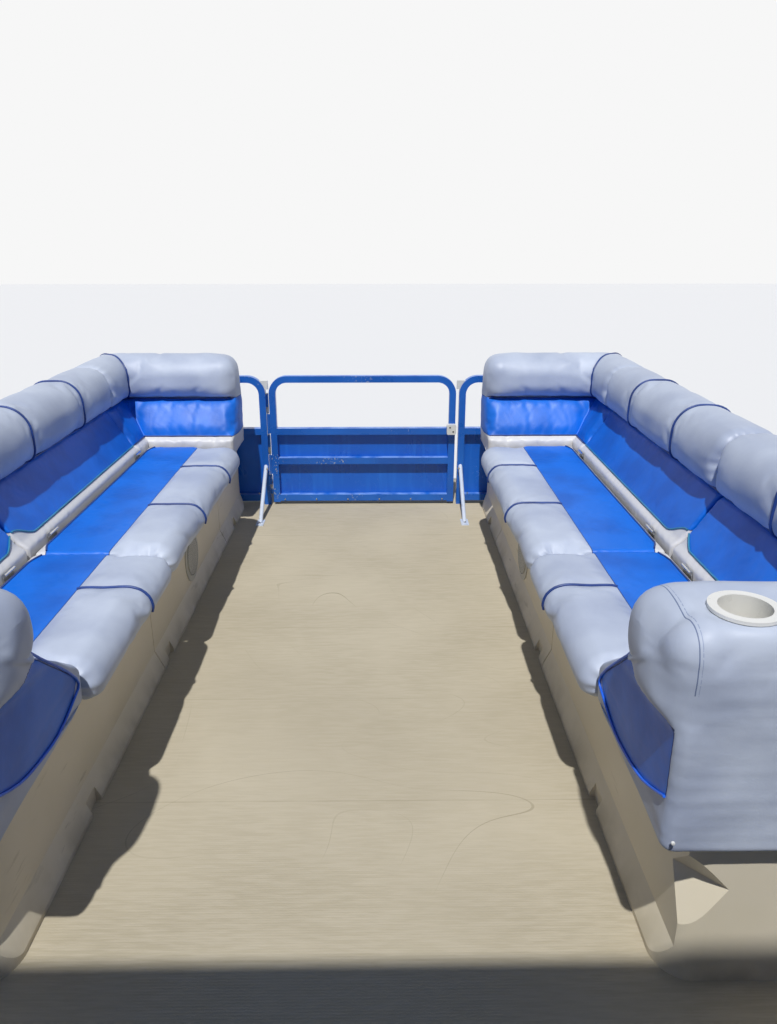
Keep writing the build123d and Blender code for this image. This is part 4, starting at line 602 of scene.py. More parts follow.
def swell(piece, held, most, slack=0.0, pressure=4.0):
    """Swells a piece as cloth under pressure.

    held gives how fast each vertex is held, slack the extra cloth, and most the furthest that a vertex moves.
    """
    start = [v.co.copy() for v in piece.data.vertices]
    group = piece.vertex_groups.new(name="held")
    for i, co in enumerate(start):
        group.add([i], held(i, co), "REPLACE")
    cloth = piece.modifiers.new("cloth", "CLOTH")
    settings = cloth.settings
    settings.quality = 4
    settings.mass = 0.25
    settings.tension_stiffness = 12
    settings.compression_stiffness = 12
    settings.shear_stiffness = 4
    settings.bending_stiffness = 0.4
    settings.vertex_group_mass = "held"
    settings.use_pressure = True
    settings.uniform_pressure_force = pressure
    settings.shrink_min = -slack
    settings.effector_weights.gravity = 0
    cloth.collision_settings.use_collision = False
    scene = bpy.context.scene
    cloth.point_cache.frame_start = 1
    cloth.point_cache.frame_end = SWELL_FRAMES
    for number in range(1, SWELL_FRAMES + 1):
        scene.frame_set(number)
    only(piece)
    bpy.ops.object.modifier_apply(modifier="cloth")
    scene.frame_set(1)
    for v, before in zip(piece.data.vertices, start):
        move = v.co - before
        if move.length > most:
            v.co = before + move * (most / move.length)
    piece.vertex_groups.clear()


def refine(piece):
    """One subdivision, applied."""
    only(piece)
    subsurf = piece.modifiers.new("subdivision", "SUBSURF")
    subsurf.levels = subsurf.render_levels = 1
    bpy.ops.object.modifier_apply(modifier="subdivision")


def dress(piece, depth):
    """Moves each vertex along its normal by depth(place)."""
    mesh = piece.data
    normals = [v.normal.copy() for v in mesh.vertices]
    for v, normal in zip(mesh.vertices, normals):
        v.co += normal * depth(v.co)
    mesh.update()


def mark(piece, name, value):
    """Writes value(place) to each vertex, for the material to read."""
    layer = piece.data.attributes.new(name, "FLOAT", "POINT")
    for v, cell in zip(piece.data.vertices, layer.data):
        cell.value = value(v.co)


def piping(name, paths, radius):
    """Round piping along paths of points, as one piece."""
    curve = bpy.data.curves.new(name, "CURVE")
    curve.dimensions = "3D"
    curve.bevel_depth = radius
    curve.bevel_resolution = 2
    curve.use_fill_caps = True
    for path in paths:
        spline = curve.splines.new("POLY")
        spline.points.add(len(path) - 1)
        for point, place in zip(spline.points, path):
            point.co = (*place, 1)
    piece = bpy.data.objects.new(name, curve)
    bpy.context.collection.objects.link(piece)
    only(piece)
    bpy.ops.object.convert(target="MESH")
    piece = bpy.context.object
    face_out(piece)
    return piece


def on_skin(piece, places, proud, ease=0, toward=None):
    """Places drawn onto a piece's surface, nearest or met in one direction, raised off it and then eased."""
    mesh = piece.data
    tree = BVHTree.FromPolygons([v.co for v in mesh.vertices], [p.vertices for p in mesh.polygons])
    found = []
    for place in places:
        near, normal = (tree.ray_cast(place, toward) if toward else tree.find_nearest(place))[:2]
        if near:
            found.append(near + normal * proud)
    for _ in range(ease):
        eased = [(a + b * 2 + c) / 4 for a, b, c in zip(found, found[1:], found[2:])]
        found = [found[0], *eased, found[-1]]
    return found


def mirrored(piece, name):
    """Copy of a starboard piece on the port side, with a mesh of its own."""
    copy = piece.copy()
    copy.data = piece.data.copy()
    copy.name = name
    bpy.context.collection.objects.link(copy)
    for v in copy.data.vertices:
        v.co.x = -v.co.x
    copy.data.flip_normals()
    return copy


# Lounge cushions, with heights above the deck

# Seats: depth of the front bolster and of the white band at the rear, and height of the lid's underside
BOLSTER = 0.198
WHITE_BAND = 0.014
SEAT_UNDER = 0.367
# Backs: heights of the foot, of the blue panel's lower edge and of the seam under the roll,
# how far in from the outside the two edges are, and the box that a rounded end shrinks towards
BACK_FOOT = 0.362
STRIP_TOP = 0.452
ROLL_SEAM = 0.604
SEAM_IN = 0.166
STRIP_IN = 0.267
BACK_HEART = (-0.15, 0.44, -0.09, 0.70)
# Radii of the piping, of the thin piping and of a cup holder's rim
PIPE = 0.0042
THIN_PIPE = 0.0028
CUP_RIM = 0.0575


def at_side(t, p):
    """Point of a section that runs along the boat."""
    return Vector((p.x, t, DECK + p.y))


def seat_edge(y, y0, y1, edge):
    """Outer edge of a seat's blue panel, which pulls in towards the seat's two ends."""
    return edge + 0.002 - 0.022 * (fade(y - y0, 0.07) + fade(y1 - y, 0.07))


def seat_pad(node, y0, y1, pipes, bow_end=0.030):
    """Starboard seat: a front bolster, a blue panel and a white rear band."""
    low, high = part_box("seat_fore_starboard")
    top = high.z - DECK - 0.006
    seam, edge, lip = low.x + BOLSTER, high.x - WHITE_BAND, low.x + 0.080
    bottom, under = low.z - DECK + 0.002, SEAT_UNDER
    section, sharp = outline([
        (high.x, (top + under) / 2, 0), (high.x, under, 0), (lip, under, 0), (lip, bottom, 0.014),
        (low.x + 0.005, bottom, 0.034), (low.x + 0.005, top, 0.052), (seam, top - 0.004, 0),
        (edge, top - 0.004, 0), (high.x, top - 0.010, 0.010)])
    count = len(section)

    def round_at(p, end):
        return 0.012 + (bow_end if end else 0.030) * fade(p.x - seam + 0.05, 0.06)
    heart = (low.x + 0.085, 0.395, high.x - 0.03, 0.395)
    rings, places = rings_of(section, [y0, *pipes, y1], at_side, round_at, heart)
    piece = skin(node + "_cushion", rings)
    seams = {r * count + i for r in range(len(rings)) for i in (sharp[6], sharp[7])}
    for r, place in enumerate(places):
        if place in pipes:
            seams |= {r * count + i for i in range(count) if section[i].x < seam}

    def held(i, co):
        if i in seams or co.x > high.x - 0.004 or co.z < DECK + under + 0.004 and co.x > lip - 0.004:
            return 1.0
        return 0.0 if co.x < seam else 0.55
    swell(piece, held, most=0.011, slack=0.016)
    rows = {place: [piece.data.vertices[r * count + i].co.copy() for i in range(count)]
            for r, place in enumerate(places) if place in pipes}
    refine(piece)
    hub = Vector((low.x + 0.088, DECK + (bottom + top) / 2))

    def depth(co):
        across = fade(co.x - seam + 0.02, 0.03)
        angle = atan2(co.z - hub.y, co.x - hub.x)
        near = min(abs(co.y - y0), abs(co.y - y1))
        folds = sin(17 * angle + 2.2 * sin(3 * angle + co.y)) * exp(-near / 0.030) * 0.0020 * across
        ripple = noise.noise(Vector((co.x * 16, co.y * 7, co.z * 16))) * 0.0016
        sag = -0.0022 * exp(-((co.x - seam) / 0.007) ** 2) - 0.0018 * exp(-((co.x - edge) / 0.008) ** 2)
        top_only = 1 if co.z > DECK + under + 0.03 else 0
        return folds + ripple * top_only + sag * top_only
    dress(piece, depth)
    mark(piece, "blue", lambda co: min(co.x - seam, seat_edge(co.y, y0, y1, edge) - co.x,
                                       co.z - DECK - under - 0.012))
    mark(piece, "white", lambda co: co.x - seat_edge(co.y, y0, y1, edge))
    paths = []
    for place in pipes:
        run = [co for co, p in zip(rows[place], section)
               if p.x < seam + 0.002 and p.y > (bottom + 0.012 if p.x < lip - 0.012 else under + 0.03)]
        paths.append(on_skin(piece, sorted_run(run), PIPE * 0.5))
    bead = [Vector((seat_edge(y, y0, y1, edge), y, high.z)) for y in stations([y0 + 0.012, y1 - 0.012])]
    return piece, paths, [on_skin(piece, bead, THIN_PIPE * 0.6)]


def sorted_run(run):
    """Points of a ring in order, starting after the widest gap between neighbours."""
    gaps = [(run[i] - run[i - 1]).length for i in range(len(run))]
    first = gaps.index(max(gaps))
    return run[first:] + run[:first]


def strip_top(y, joints):
    """Height of the lower edge of a back's blue panel, which rises to each joint."""
    return STRIP_TOP + sum(0.034 * fade(abs(y - joint), 0.10) for joint in joints)


def back_corners(outer):
    """Section of a back, as distance across and height, starting at the middle of its foot."""
    front = outer - 0.290
    return [((front + outer) / 2, BACK_FOOT, 0), (front, BACK_FOOT, 0), (front, 0.436, 0.014),
            (outer - STRIP_IN, STRIP_TOP, 0), (outer - SEAM_IN, ROLL_SEAM, 0), (outer - 0.204, 0.592, 0.038),
            (outer - 0.199, 0.786, 0.078), (outer - 0.003, 0.786, 0.078), (outer - 0.003, BACK_FOOT, 0)]


def end_radius(height, below, above):
    """Radius that the end of a back is rounded by, below the seam under the roll and above it."""
    return below + above * (1 - fade(height - ROLL_SEAM + 0.02, 0.03))


def back_pad(name, y0, y1, pipes, joints):
    """Starboard length of back between two joints."""
    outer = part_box("back_side_starboard")[1].x
    section, sharp = outline(back_corners(outer))
    count = len(section)

    def round_at(p, end):
        return end_radius(p.y, 0.010, 0.022)
    heart = (outer - 0.15, 0.44, outer - 0.09, 0.70)
    rings, places = rings_of(section, [y0, *pipes, y1], at_side, round_at, heart)
    piece = skin(name, rings)
    seams = {r * count + i for r in range(len(rings)) for i in (sharp[3], sharp[4])}
    for r, place in enumerate(places):
        if place in pipes:
            seams |= {r * count + i for i in range(sharp[4], count)}
    swell(piece, lambda i, co: back_held(i in seams, co, outer), most=0.012, slack=0.015)
    rows = [[piece.data.vertices[r * count + i].co.copy() for i in range(sharp[4], count)
             if section[i].x < outer - 0.01 or section[i].y > 0.60]
            for r, place in enumerate(places) if place in pipes]
    refine(piece)
    dress(piece, lambda co: back_folds(co, co.y, (y0, y1), outer - co.x))
    mark(piece, "blue", lambda co: min(DECK + ROLL_SEAM - co.z, co.z - DECK - strip_top(co.y, joints),
                                       co.x - outer + 0.292, outer - 0.10 - co.x))
    mark(piece, "white", lambda co: min(DECK + strip_top(co.y, joints) - co.z, outer - 0.15 - co.x))
    lines = [on_skin(piece, run, PIPE * 0.5) for run in rows]
    seam = [Vector((outer - SEAM_IN, y, DECK + ROLL_SEAM)) for y in stations([y0 + 0.004, y1 - 0.004])]
    lines.append(on_skin(piece, seam, 0.001))
    bead = [slope_point(outer, y, strip_top(y, joints)) for y in stations([y0 + 0.004, y1 - 0.004])]
    return piece, lines, [on_skin(piece, bead, THIN_PIPE * 0.7)]


def slope_point(outer, y, height):
    """Point on the slope of a back at a height above the deck."""
    share = (height - STRIP_TOP) / (ROLL_SEAM - STRIP_TOP)
    return Vector((outer - STRIP_IN + share * (STRIP_IN - SEAM_IN), y, DECK + height))


def back_held(in_seam, co, outer):
    """How fast a vertex of a back is held."""
    if in_seam or co.z < DECK + 0.40 or co.x > outer - 0.006 and co.z < DECK + 0.70:
        return 1.0
    return 0.5 if co.z < DECK + 0.60 else 0.0


def back_folds(co, along, ends, inward):
    """Depth of the folds and ripples on a back."""
    near = min(abs(along - end) for end in ends)
    angle = atan2(co.z - DECK - 0.70, inward - 0.10)
    roll = 1 if co.z > DECK + 0.60 else 0
    folds = sin(15 * angle + 2 * sin(4 * angle + along)) * exp(-near / 0.030) * 0.0020 * roll
    ripple = noise.noise(Vector((co.x * 13, co.y * 13, co.z * 11))) * 0.0020
    seam = -0.003 * exp(-(abs(co.z - DECK - ROLL_SEAM) / 0.009) ** 2) * (1 if inward > 0.16 else 0)
    return folds + ripple + seam


def corner_pad(name):
    """Starboard corner back: a short side part, a mitre, and the return along the bow fence."""
    low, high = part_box("back_bow_starboard")
    outer, bow, inner, y0 = high.x, high.y, low.x, low.y
    section, sharp = outline(back_corners(0.0))
    count = len(section)

    def side(y, p):
        return Vector((outer + p.x, y, DECK + p.y))

    def across(x, p):
        return Vector((x, bow + p.x, DECK + p.y))

    def rounded(way, start, sizes, turns):
        return [[way(start + r * (1 - cos(share)), inset(p, r * (1 - sin(share)), BACK_HEART))
                 for p, r in zip(section, sizes)] for share in map(radians, turns)]
    radii = [end_radius(p.y, 0.010, 0.022) for p in section]
    ends = [end_radius(p.y, 0.016, 0.044) for p in section]
    rings = rounded(side, y0, radii, ROUND_TURNS)
    steps = round((bow - y0 - 0.20) / CELL)
    for k in range(steps + 1):
        rings.append([side(y0 + r + (bow + p.x - y0 - r) * k / steps, p) for p, r in zip(section, radii)])
    mitre = len(rings) - 1
    steps = round((outer - inner - 0.20) / CELL)
    for k in range(1, steps + 1):
        rings.append([across(outer + p.x + (inner + r - outer - p.x) * k / steps, p)
                      for p, r in zip(section, ends)])
    rings += rounded(across, inner, ends, ROUND_TURNS[::-1])
    piece = skin(name, rings)
    seams = {r * count + i for r in range(len(rings)) for i in (sharp[3], sharp[4])}
    seams |= {mitre * count + i for i in range(count)}

    def held(i, co):
        wall = co.x > outer - 0.006 or co.y > bow - 0.006
        if i in seams or co.z < DECK + 0.40 or wall and co.z < DECK + 0.70:
            return 1.0
        return 0.1
    swell(piece, held, most=0.011, slack=0.02)
    row = [piece.data.vertices[mitre * count + i].co.copy() for i in range(sharp[4], count)
           if section[i].x < -0.01 or section[i].y > 0.60]
    refine(piece)

    def depth(co):
        on_side = outer - co.x < bow - co.y
        inward = outer - co.x if on_side else bow - co.y
        along = co.y if on_side else y0 + 0.30
        wrinkle = 0.0
        if not on_side and inward > 0.17:
            swirl = noise.noise(Vector((co.x * 10, 0, co.z * 10))) * 3
            wrinkle = 0.0005 * noise.noise(Vector((co.x * 42 + swirl, 1.7, co.z * 30 + co.x * 25)))
        return back_folds(co, along, (y0,), inward) + wrinkle
    dress(piece, depth)

    def blue(co):
        away = outer - co.x - 0.12
        if co.x < outer - 0.29:
            away = max(bow - co.y - 0.10, inner + 0.035 - co.x)
        return min(DECK + ROLL_SEAM - co.z, co.z - DECK - STRIP_TOP, away)
    mark(piece, "blue", blue)
    mark(piece, "white", lambda co: min(DECK + STRIP_TOP - co.z, outer - 0.12 - co.x))

    def round_corner(reach, height, short, proud):
        """Run at a height, along the side and round the mitre, that ends short of the inner end."""
        run = [Vector((outer - reach, y, DECK + height)) for y in stations([y0 + 0.004, bow - reach])]
        run += [Vector((x, bow - reach, DECK + height)) for x in stations([outer - reach, inner + short])[1:]]
        return on_skin(piece, run, proud)
    lines = [on_skin(piece, row, PIPE * 0.5), round_corner(SEAM_IN, ROLL_SEAM, 0.012, 0.001)]
    return piece, lines, [round_corner(STRIP_IN, STRIP_TOP, 0.006, THIN_PIPE * 0.7)]


# Lower edge of the blue side panel of an end back, as (distance forward, height) from its aft foot
ARM_EDGE = ((0.022, 0.440), (0.115, 0.396), (0.215, 0.379), (0.300, 0.376), (0.375, 0.398), (0.402, 0.432))
# Upper end of that edge's bead, and the height of the panel's top
ARM_SEAM = (0.236, 0.588)
ARM_TOP = 0.572
# How far the roll's seam is from its inner end, and the height of the aft skirt's foot
ARM_FRONT = 0.020
SKIRT = 0.336


def arm_edge(y):
    """Height of that edge at a distance forward."""
    for (ya, za), (yb, zb) in zip(ARM_EDGE, ARM_EDGE[1:]):
        if y <= yb:
            return za + (zb - za) * (y - ya) / (yb - ya)
    return ARM_EDGE[-1][1]


def arm_pad(name):
    """Starboard end back, with its roll on top and a blue panel on the aisle side."""
    low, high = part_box("end_back_starboard")
    y0, x0, x1, top = low.y, low.x, high.x, high.z - DECK
    section, sharp = outline([
        (y0 + 0.19, BACK_FOOT, 0), (y0 + 0.438, BACK_FOOT, 0), (y0 + 0.438, 0.434, 0.012),
        (y0 + 0.422, STRIP_TOP, 0), (y0 + 0.230, 0.594, 0), (y0 + 0.256, 0.580, 0.034),
        (y0 + 0.248, top - 0.004, 0.088), (y0 + 0.004, top - 0.004, 0.042), (y0 + 0.004, SKIRT, 0.008),
        (y0 + 0.034, SKIRT, 0), (y0 + 0.034, BACK_FOOT, 0)])
    count = len(section)

    def below_roll(height):
        return fade(height - 0.565, 0.03)

    def round_at(p, end):
        return 0.01 if end else 0.022 + 0.044 * (1 - below_roll(p.y))

    def place(t, p):
        recess = 0.030 * below_roll(p.y) * fade(t - x0, 0.10)
        return Vector((t + recess, p.x, DECK + p.y))
    heart = (y0 + 0.09, 0.42, y0 + 0.15, 0.66)
    rings, places = rings_of(section, [x0 - 0.027, x1], place, round_at, heart)
    piece = skin(name, rings)
    straight = [r for r, x in enumerate(places) if x is not None and x > x0 + 0.06]
    seams = {r * count + i for r in straight for i in (sharp[3], sharp[4])}

    def held(i, co):
        if i in seams or co.z < DECK + 0.375 or co.x > x1 - 0.03:
            return 1.0
        flat = fade(co.z - DECK - (0.66 if co.y < y0 + 0.03 else 0.56), 0.04)
        return 0.04 + 0.46 * flat
    swell(piece, held, most=0.011, slack=0.008)
    refine(piece)
    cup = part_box("cup_holders")
    cup_x, cup_y = cup[1].x - CUP_RIM, (cup[0].y + cup[1].y) / 2

    def depth(co):
        forward, height = co.y - y0, co.z - DECK
        swirl = Vector((co.x * 7 + 3 * sin(co.x * 6), co.y * 5, co.z * 64))
        fold = noise.noise(swirl) * 0.0010 * (1 if forward < 0.03 else 0.3)
        soft = noise.noise(Vector((co.x * 9, co.y * 9, co.z * 9))) * 0.003
        seam = under = flat = 0
        if height > 0.64 and forward < 0.26:
            seam = -0.0022 * exp(-(abs(co.x - x0 - ARM_FRONT) / 0.0045) ** 2)
        if co.x < x0 + 0.12:
            under = -0.0035 * exp(-(abs(height - ARM_TOP) / 0.010) ** 2) * (1 - fade(forward - 0.02, 0.03))
        if height > 0.7:
            flat = fade(hypot(co.x - cup_x, co.y - cup_y) - 0.06, 0.05)
        return (fold + soft) * (1 - flat) + seam + under
    dress(piece, depth)
    for v in piece.data.vertices:
        away = hypot(v.co.x - cup_x, v.co.y - cup_y)
        if v.co.z > DECK + 0.69 and away < CUP_RIM - 0.006:
            v.co.z = cup[0].z - 0.006
        elif v.co.z > DECK + 0.69:
            v.co.z += (DECK + top - 0.001 - v.co.z) * fade(away - CUP_RIM - 0.002, 0.04)

    def blue(co):
        forward, height = co.y - y0, co.z - DECK
        if co.x < x0 + 0.10 and forward < 0.42:
            front = (ARM_EDGE[-1][0] - forward) * 0.67 + (ARM_EDGE[-1][1] - height) * 0.74
            return min(ARM_TOP - height, height - arm_edge(forward), forward - ARM_EDGE[0][0], front)
        return min(0.594 - height, height - STRIP_TOP, forward - 0.20, x1 - 0.03 - co.x)
    mark(piece, "blue", blue)
    mark(piece, "white", lambda co: -1.0)

    def stitch(co):
        off = co.x - x0 - ARM_FRONT
        on_roll = co.z > DECK + 0.635 and co.y < y0 + 0.27
        return 10 + (off if on_roll and abs(off) < 0.05 else 0.5 if off > 0 else -0.5)
    mark(piece, "stitch", stitch)
    bead = [Vector((x0 - 0.10, y0 + y, DECK + z)) for y, z in spread((*ARM_EDGE, ARM_SEAM))]
    return piece, [], [on_skin(piece, bead, THIN_PIPE * 0.8, ease=1, toward=Vector((1, 0, 0)))]


def spread(corners):
    """Points along a run of corners, smoothed by a formula for each span."""
    found = []
    for i in range(len(corners) - 1):
        a, b, c, d = (Vector(corners[max(0, min(len(corners) - 1, j))]) for j in (i - 1, i, i + 1, i + 2))
        for k in range(4):
            t = k / 4
            found.append(0.5 * ((2 * b) + (c - a) * t + (2 * a - 5 * b + 4 * c - d) * t ** 2
                                + (3 * b - a - 3 * c + d) * t ** 3))
    return [*found, Vector(corners[-1])]


def seat_board(node):
    """Moulded board screwed to the underside of a seat lid, clear of the bolster on its inner side."""
    low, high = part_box(node)
    level = DECK + 0.3612
    x0, x1 = (low.x + 0.098, high.x - 0.022) if high.x > 0 else (low.x + 0.022, high.x - 0.098)
    parts = [slab((x0, low.y + 0.035, level), (x1, high.y - 0.035, level + 0.012), 0.030, 2, 0.002)]
    for x in (x0 + 0.022, x1 - 0.022):
        for y in stations_of(low.y + 0.075, high.y - 0.075, 0.25):
            parts.append(head((x, y, level + 0.0012), (0, 0, -1), 0.0055, 0.3, 10))
    settle(joined(parts), node + "_board", node, "base_plastic", WHITE_ABS)


def lounge_cushions():
    """All cushions of the two bow lounges."""
    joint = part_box("seat_fore_starboard")[0].y
    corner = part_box("back_bow_starboard")[0].y
    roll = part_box("end_back_starboard")[0].y + 0.25
    fore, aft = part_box("seat_fore_starboard"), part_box("seat_aft_starboard")
    sets = (
        ("seat_fore", seat_pad("seat_fore", fore[0].y, fore[1].y, (1.72, 2.18), 0.060), NAVY),
        ("seat_aft", seat_pad("seat_aft", aft[0].y, aft[1].y, (1.056,)), NAVY),
        ("back_side", back_pad("back_side", joint - 0.007, corner, (1.62, 2.07), (joint,)), TEAL),
        ("back_aft", back_pad("back_aft", roll, joint - 0.019, (0.93,), (joint,)), TEAL),
        ("back_bow", corner_pad("back_bow"), NAVY),
        ("end_back", arm_pad("end_back"), BRIGHT),
    )
    for name, (pad, lines, beads), bead in sets:
        lifts = name.startswith("seat")
        parts = [(pad, "_cushion", VINYL), (piping(name + "_bead", beads, THIN_PIPE), "_bead", bead)]
        if lines:
            parts.append((piping(name + "_piping", lines, PIPE), "_piping", NAVY))
        for piece, kind, material in parts:
            piece.data.materials.append(material)
            for side, shown in (("port", mirrored(piece, "port")), ("starboard", piece)):
                node = name + "_" + side
                shown.name = node + kind
                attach(shown, node if lifts else "hull")
                if kind == "_cushion":
                    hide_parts(node)


def bench_cushions():
    """Seat and back of the aft bench, shaped as on the starboard side and turned to port."""
    low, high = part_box("aft_bench_seat")
    y0, y1 = low.y, high.y
    pipes = [y0 + (y1 - y0) * share for share in (1 / 3, 2 / 3)]
    sets = (
        ("aft_bench_seat", seat_pad("aft_bench_seat", y0, y1, pipes), "seat_vinyl", "aft_bench_seat", NAVY),
        ("aft_bench_back", back_pad("aft_bench_back", y0, y1, pipes, ()), "back_vinyl", "hull", TEAL),
    )
    for node, (pad, lines, beads), slot, body, bead in sets:
        parts = [(pad, "_cushion", VINYL), (piping(node, beads, THIN_PIPE), "_bead", bead),
                 (piping(node, lines, PIPE), "_piping", NAVY)]
        for piece, kind, material in parts:
            piece.data.materials.append(material)
            turned = mirrored(piece, "turned")
            bpy.data.objects.remove(piece)
            turned.name = node + kind
            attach(turned, body)
            if kind == "_cushion":
                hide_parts(node)


# Rigid pieces: a primitive at its size and place, shaped in edit mode, its place put into the mesh

def settle(piece, name, body, slot, made):
    """Puts a piece's place into its mesh and gives it its name, body and material. Its slot is not used."""
    only(piece)
    bpy.ops.object.transform_apply(location=True, rotation=True, scale=True)
    piece.name = name
    piece.data.materials.clear()
    piece.data.materials.append(made)
    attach(piece, body)
    return piece


def block(low, high):
    """Plain cube between two corners, its place and size put into the mesh."""
    bpy.ops.object.select_all(action="DESELECT")
    bpy.ops.mesh.primitive_cube_add(size=1, location=(low + high) / 2, scale=high - low)
    bpy.ops.object.transform_apply(location=True, rotation=True, scale=True)
    return bpy.context.object


def slab(low, high, corner, axis, edge=0.0012, steps=5):
    """Plate between two corners, its corners rounded about one axis and all its other edges eased."""
    piece = block(Vector(low), Vector(high))
    bpy.ops.object.mode_set(mode="EDIT")
    bpy.ops.mesh.select_all(action="DESELECT")
    mesh = bmesh.from_edit_mesh(piece.data)
    for rim in mesh.edges:
        way = rim.verts[1].co - rim.verts[0].co
        rim.select_set(abs(way.normalized()[axis]) > 0.99)
    bmesh.update_edit_mesh(piece.data)
    bpy.ops.mesh.bevel(offset=corner, segments=steps)
    bpy.ops.object.mode_set(mode="OBJECT")
    eased = piece.modifiers.new("eased", "BEVEL")
    eased.width, eased.segments, eased.limit_method, eased.angle_limit = edge, 2, "ANGLE", radians(35)
    bpy.ops.object.modifier_apply(modifier="eased")
    bpy.ops.object.shade_smooth_by_angle(angle=radians(35))
    return piece


def joined(pieces):
    """Several pieces made one."""
    only(pieces[0])
    for piece in pieces:
        piece.select_set(True)
    bpy.ops.object.join()
    return bpy.context.object


def head(place, facing, radius, rise=0.6, sides=14):
    """Round-headed screw, rivet or knob that stands out of a surface."""
    bpy.ops.object.select_all(action="DESELECT")
    turn = Vector(facing).to_track_quat("Z", "Y").to_euler()
    bpy.ops.mesh.primitive_cylinder_add(vertices=sides, radius=radius, depth=radius * rise * 2,
                                        location=place, rotation=turn)
    piece = bpy.context.object
    bpy.ops.object.transform_apply(location=True, rotation=True, scale=True)
    bpy.ops.object.mode_set(mode="EDIT")
    bpy.ops.mesh.select_all(action="DESELECT")
    mesh = bmesh.from_edit_mesh(piece.data)
    way = Vector(facing).normalized()
    far = Vector(place) + way * radius * rise
    for v in mesh.verts:
        v.select_set(abs((v.co - far).dot(way)) < radius * 0.1)
    mesh.select_flush(True)
    bmesh.update_edit_mesh(piece.data)
    bpy.ops.mesh.bevel(offset=radius * rise * 0.6, segments=3)
    bpy.ops.object.mode_set(mode="OBJECT")
    bpy.ops.object.shade_smooth_by_angle(angle=radians(40))
    return piece


def ring(place, facing, radius, thick, sides=40):
    """Round ring of wire square to facing."""
    bpy.ops.object.select_all(action="DESELECT")
    turn = Vector(facing).to_track_quat("Z", "Y").to_euler()
    bpy.ops.mesh.primitive_torus_add(location=place, rotation=turn, major_segments=sides, minor_segments=8,
                                     major_radius=radius, minor_radius=thick)
    bpy.ops.object.shade_smooth()
    return bpy.context.object


def rounded_pad(low, high, radius, cuts, lean=0.0):
    """Block of even cells with round edges, leaning aft at its top."""
    piece = block(low, high)
    bpy.ops.object.mode_set(mode="EDIT")
    bpy.ops.mesh.select_all(action="SELECT")
    bpy.ops.mesh.subdivide(number_cuts=cuts)
    bpy.ops.object.mode_set(mode="OBJECT")
    for v in piece.data.vertices:
        core = Vector([min(h - radius, max(l + radius, c)) for c, l, h in zip(v.co, low, high)])
        v.co = core + (v.co - core).normalized() * radius
        v.co.y -= lean * (v.co.z - low.z) / (high.z - low.z)
    bpy.ops.object.shade_smooth()
    return piece


# Helm chair: distance of the two seams from its middle, and of the seat from its rear,
# radius of a cushion's edges, and the spacing of the ribs in millimetres
CHAIR_SEAM = 0.130
CHAIR_BACK = 0.098
CHAIR_ROUND = 0.034
RIB_MM = 62


def chair_cushion(kind, near, far, middle, lean):
    """Cushion of the chair between two corners, with a ribbed blue panel between its two seams."""
    pad = rounded_pad(near, far, CHAIR_ROUND, 28, lean)
    start = [v.co.copy() for v in pad.data.vertices]
    is_seat = kind == "seat"
    foot = near.z + 0.012 if is_seat else near.z - 1
    rear = near.y - 1 if is_seat else near.y + 0.012

    def held(i, co):
        in_seam = abs(abs(co.x - middle) - CHAIR_SEAM) < 0.009
        flat = co.z < foot if is_seat else start[i].y < rear
        return 1.0 if in_seam or flat else 0.05
    swell(pad, held, most=0.011, slack=0.012)
    refine(pad)

    def depth(co):
        seam = -0.004 * exp(-((abs(co.x - middle) - CHAIR_SEAM) / 0.006) ** 2)
        rib = 0.0
        if abs(co.x - middle) < CHAIR_SEAM - 0.005:
            along = co.y if is_seat else co.z
            rib = -0.003 * exp(-(((along * 1000) % RIB_MM - RIB_MM / 2) / 6) ** 2)
        return seam + rib + noise.noise(co * 11) * 0.0015
    dress(pad, depth)
    mark(pad, "blue", lambda co: min(CHAIR_SEAM - abs(co.x - middle), co.z - foot, co.y - rear))
    mark(pad, "white", lambda co: -1.0)
    pad.name = "helm_" + kind + "_cushion"
    pad.data.materials.append(VINYL)
    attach(pad, "helm_chair")
    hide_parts("helm_seat")
    paths = []
    for x in (middle - CHAIR_SEAM, middle + CHAIR_SEAM):
        if is_seat:
            path = [Vector((x, y, far.z + 0.02)) for y in stations([near.y + 0.03, far.y - 0.012])]
        else:
            path = [Vector((x, far.y + 0.02, z)) for z in stations([near.z + 0.02, far.z - 0.012])]
        paths.append(on_skin(pad, path, THIN_PIPE * 0.4, ease=3))
    bead = piping("helm_" + kind + "_piping", paths, THIN_PIPE)
    bead.data.materials.append(NAVY)
    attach(bead, "helm_chair")


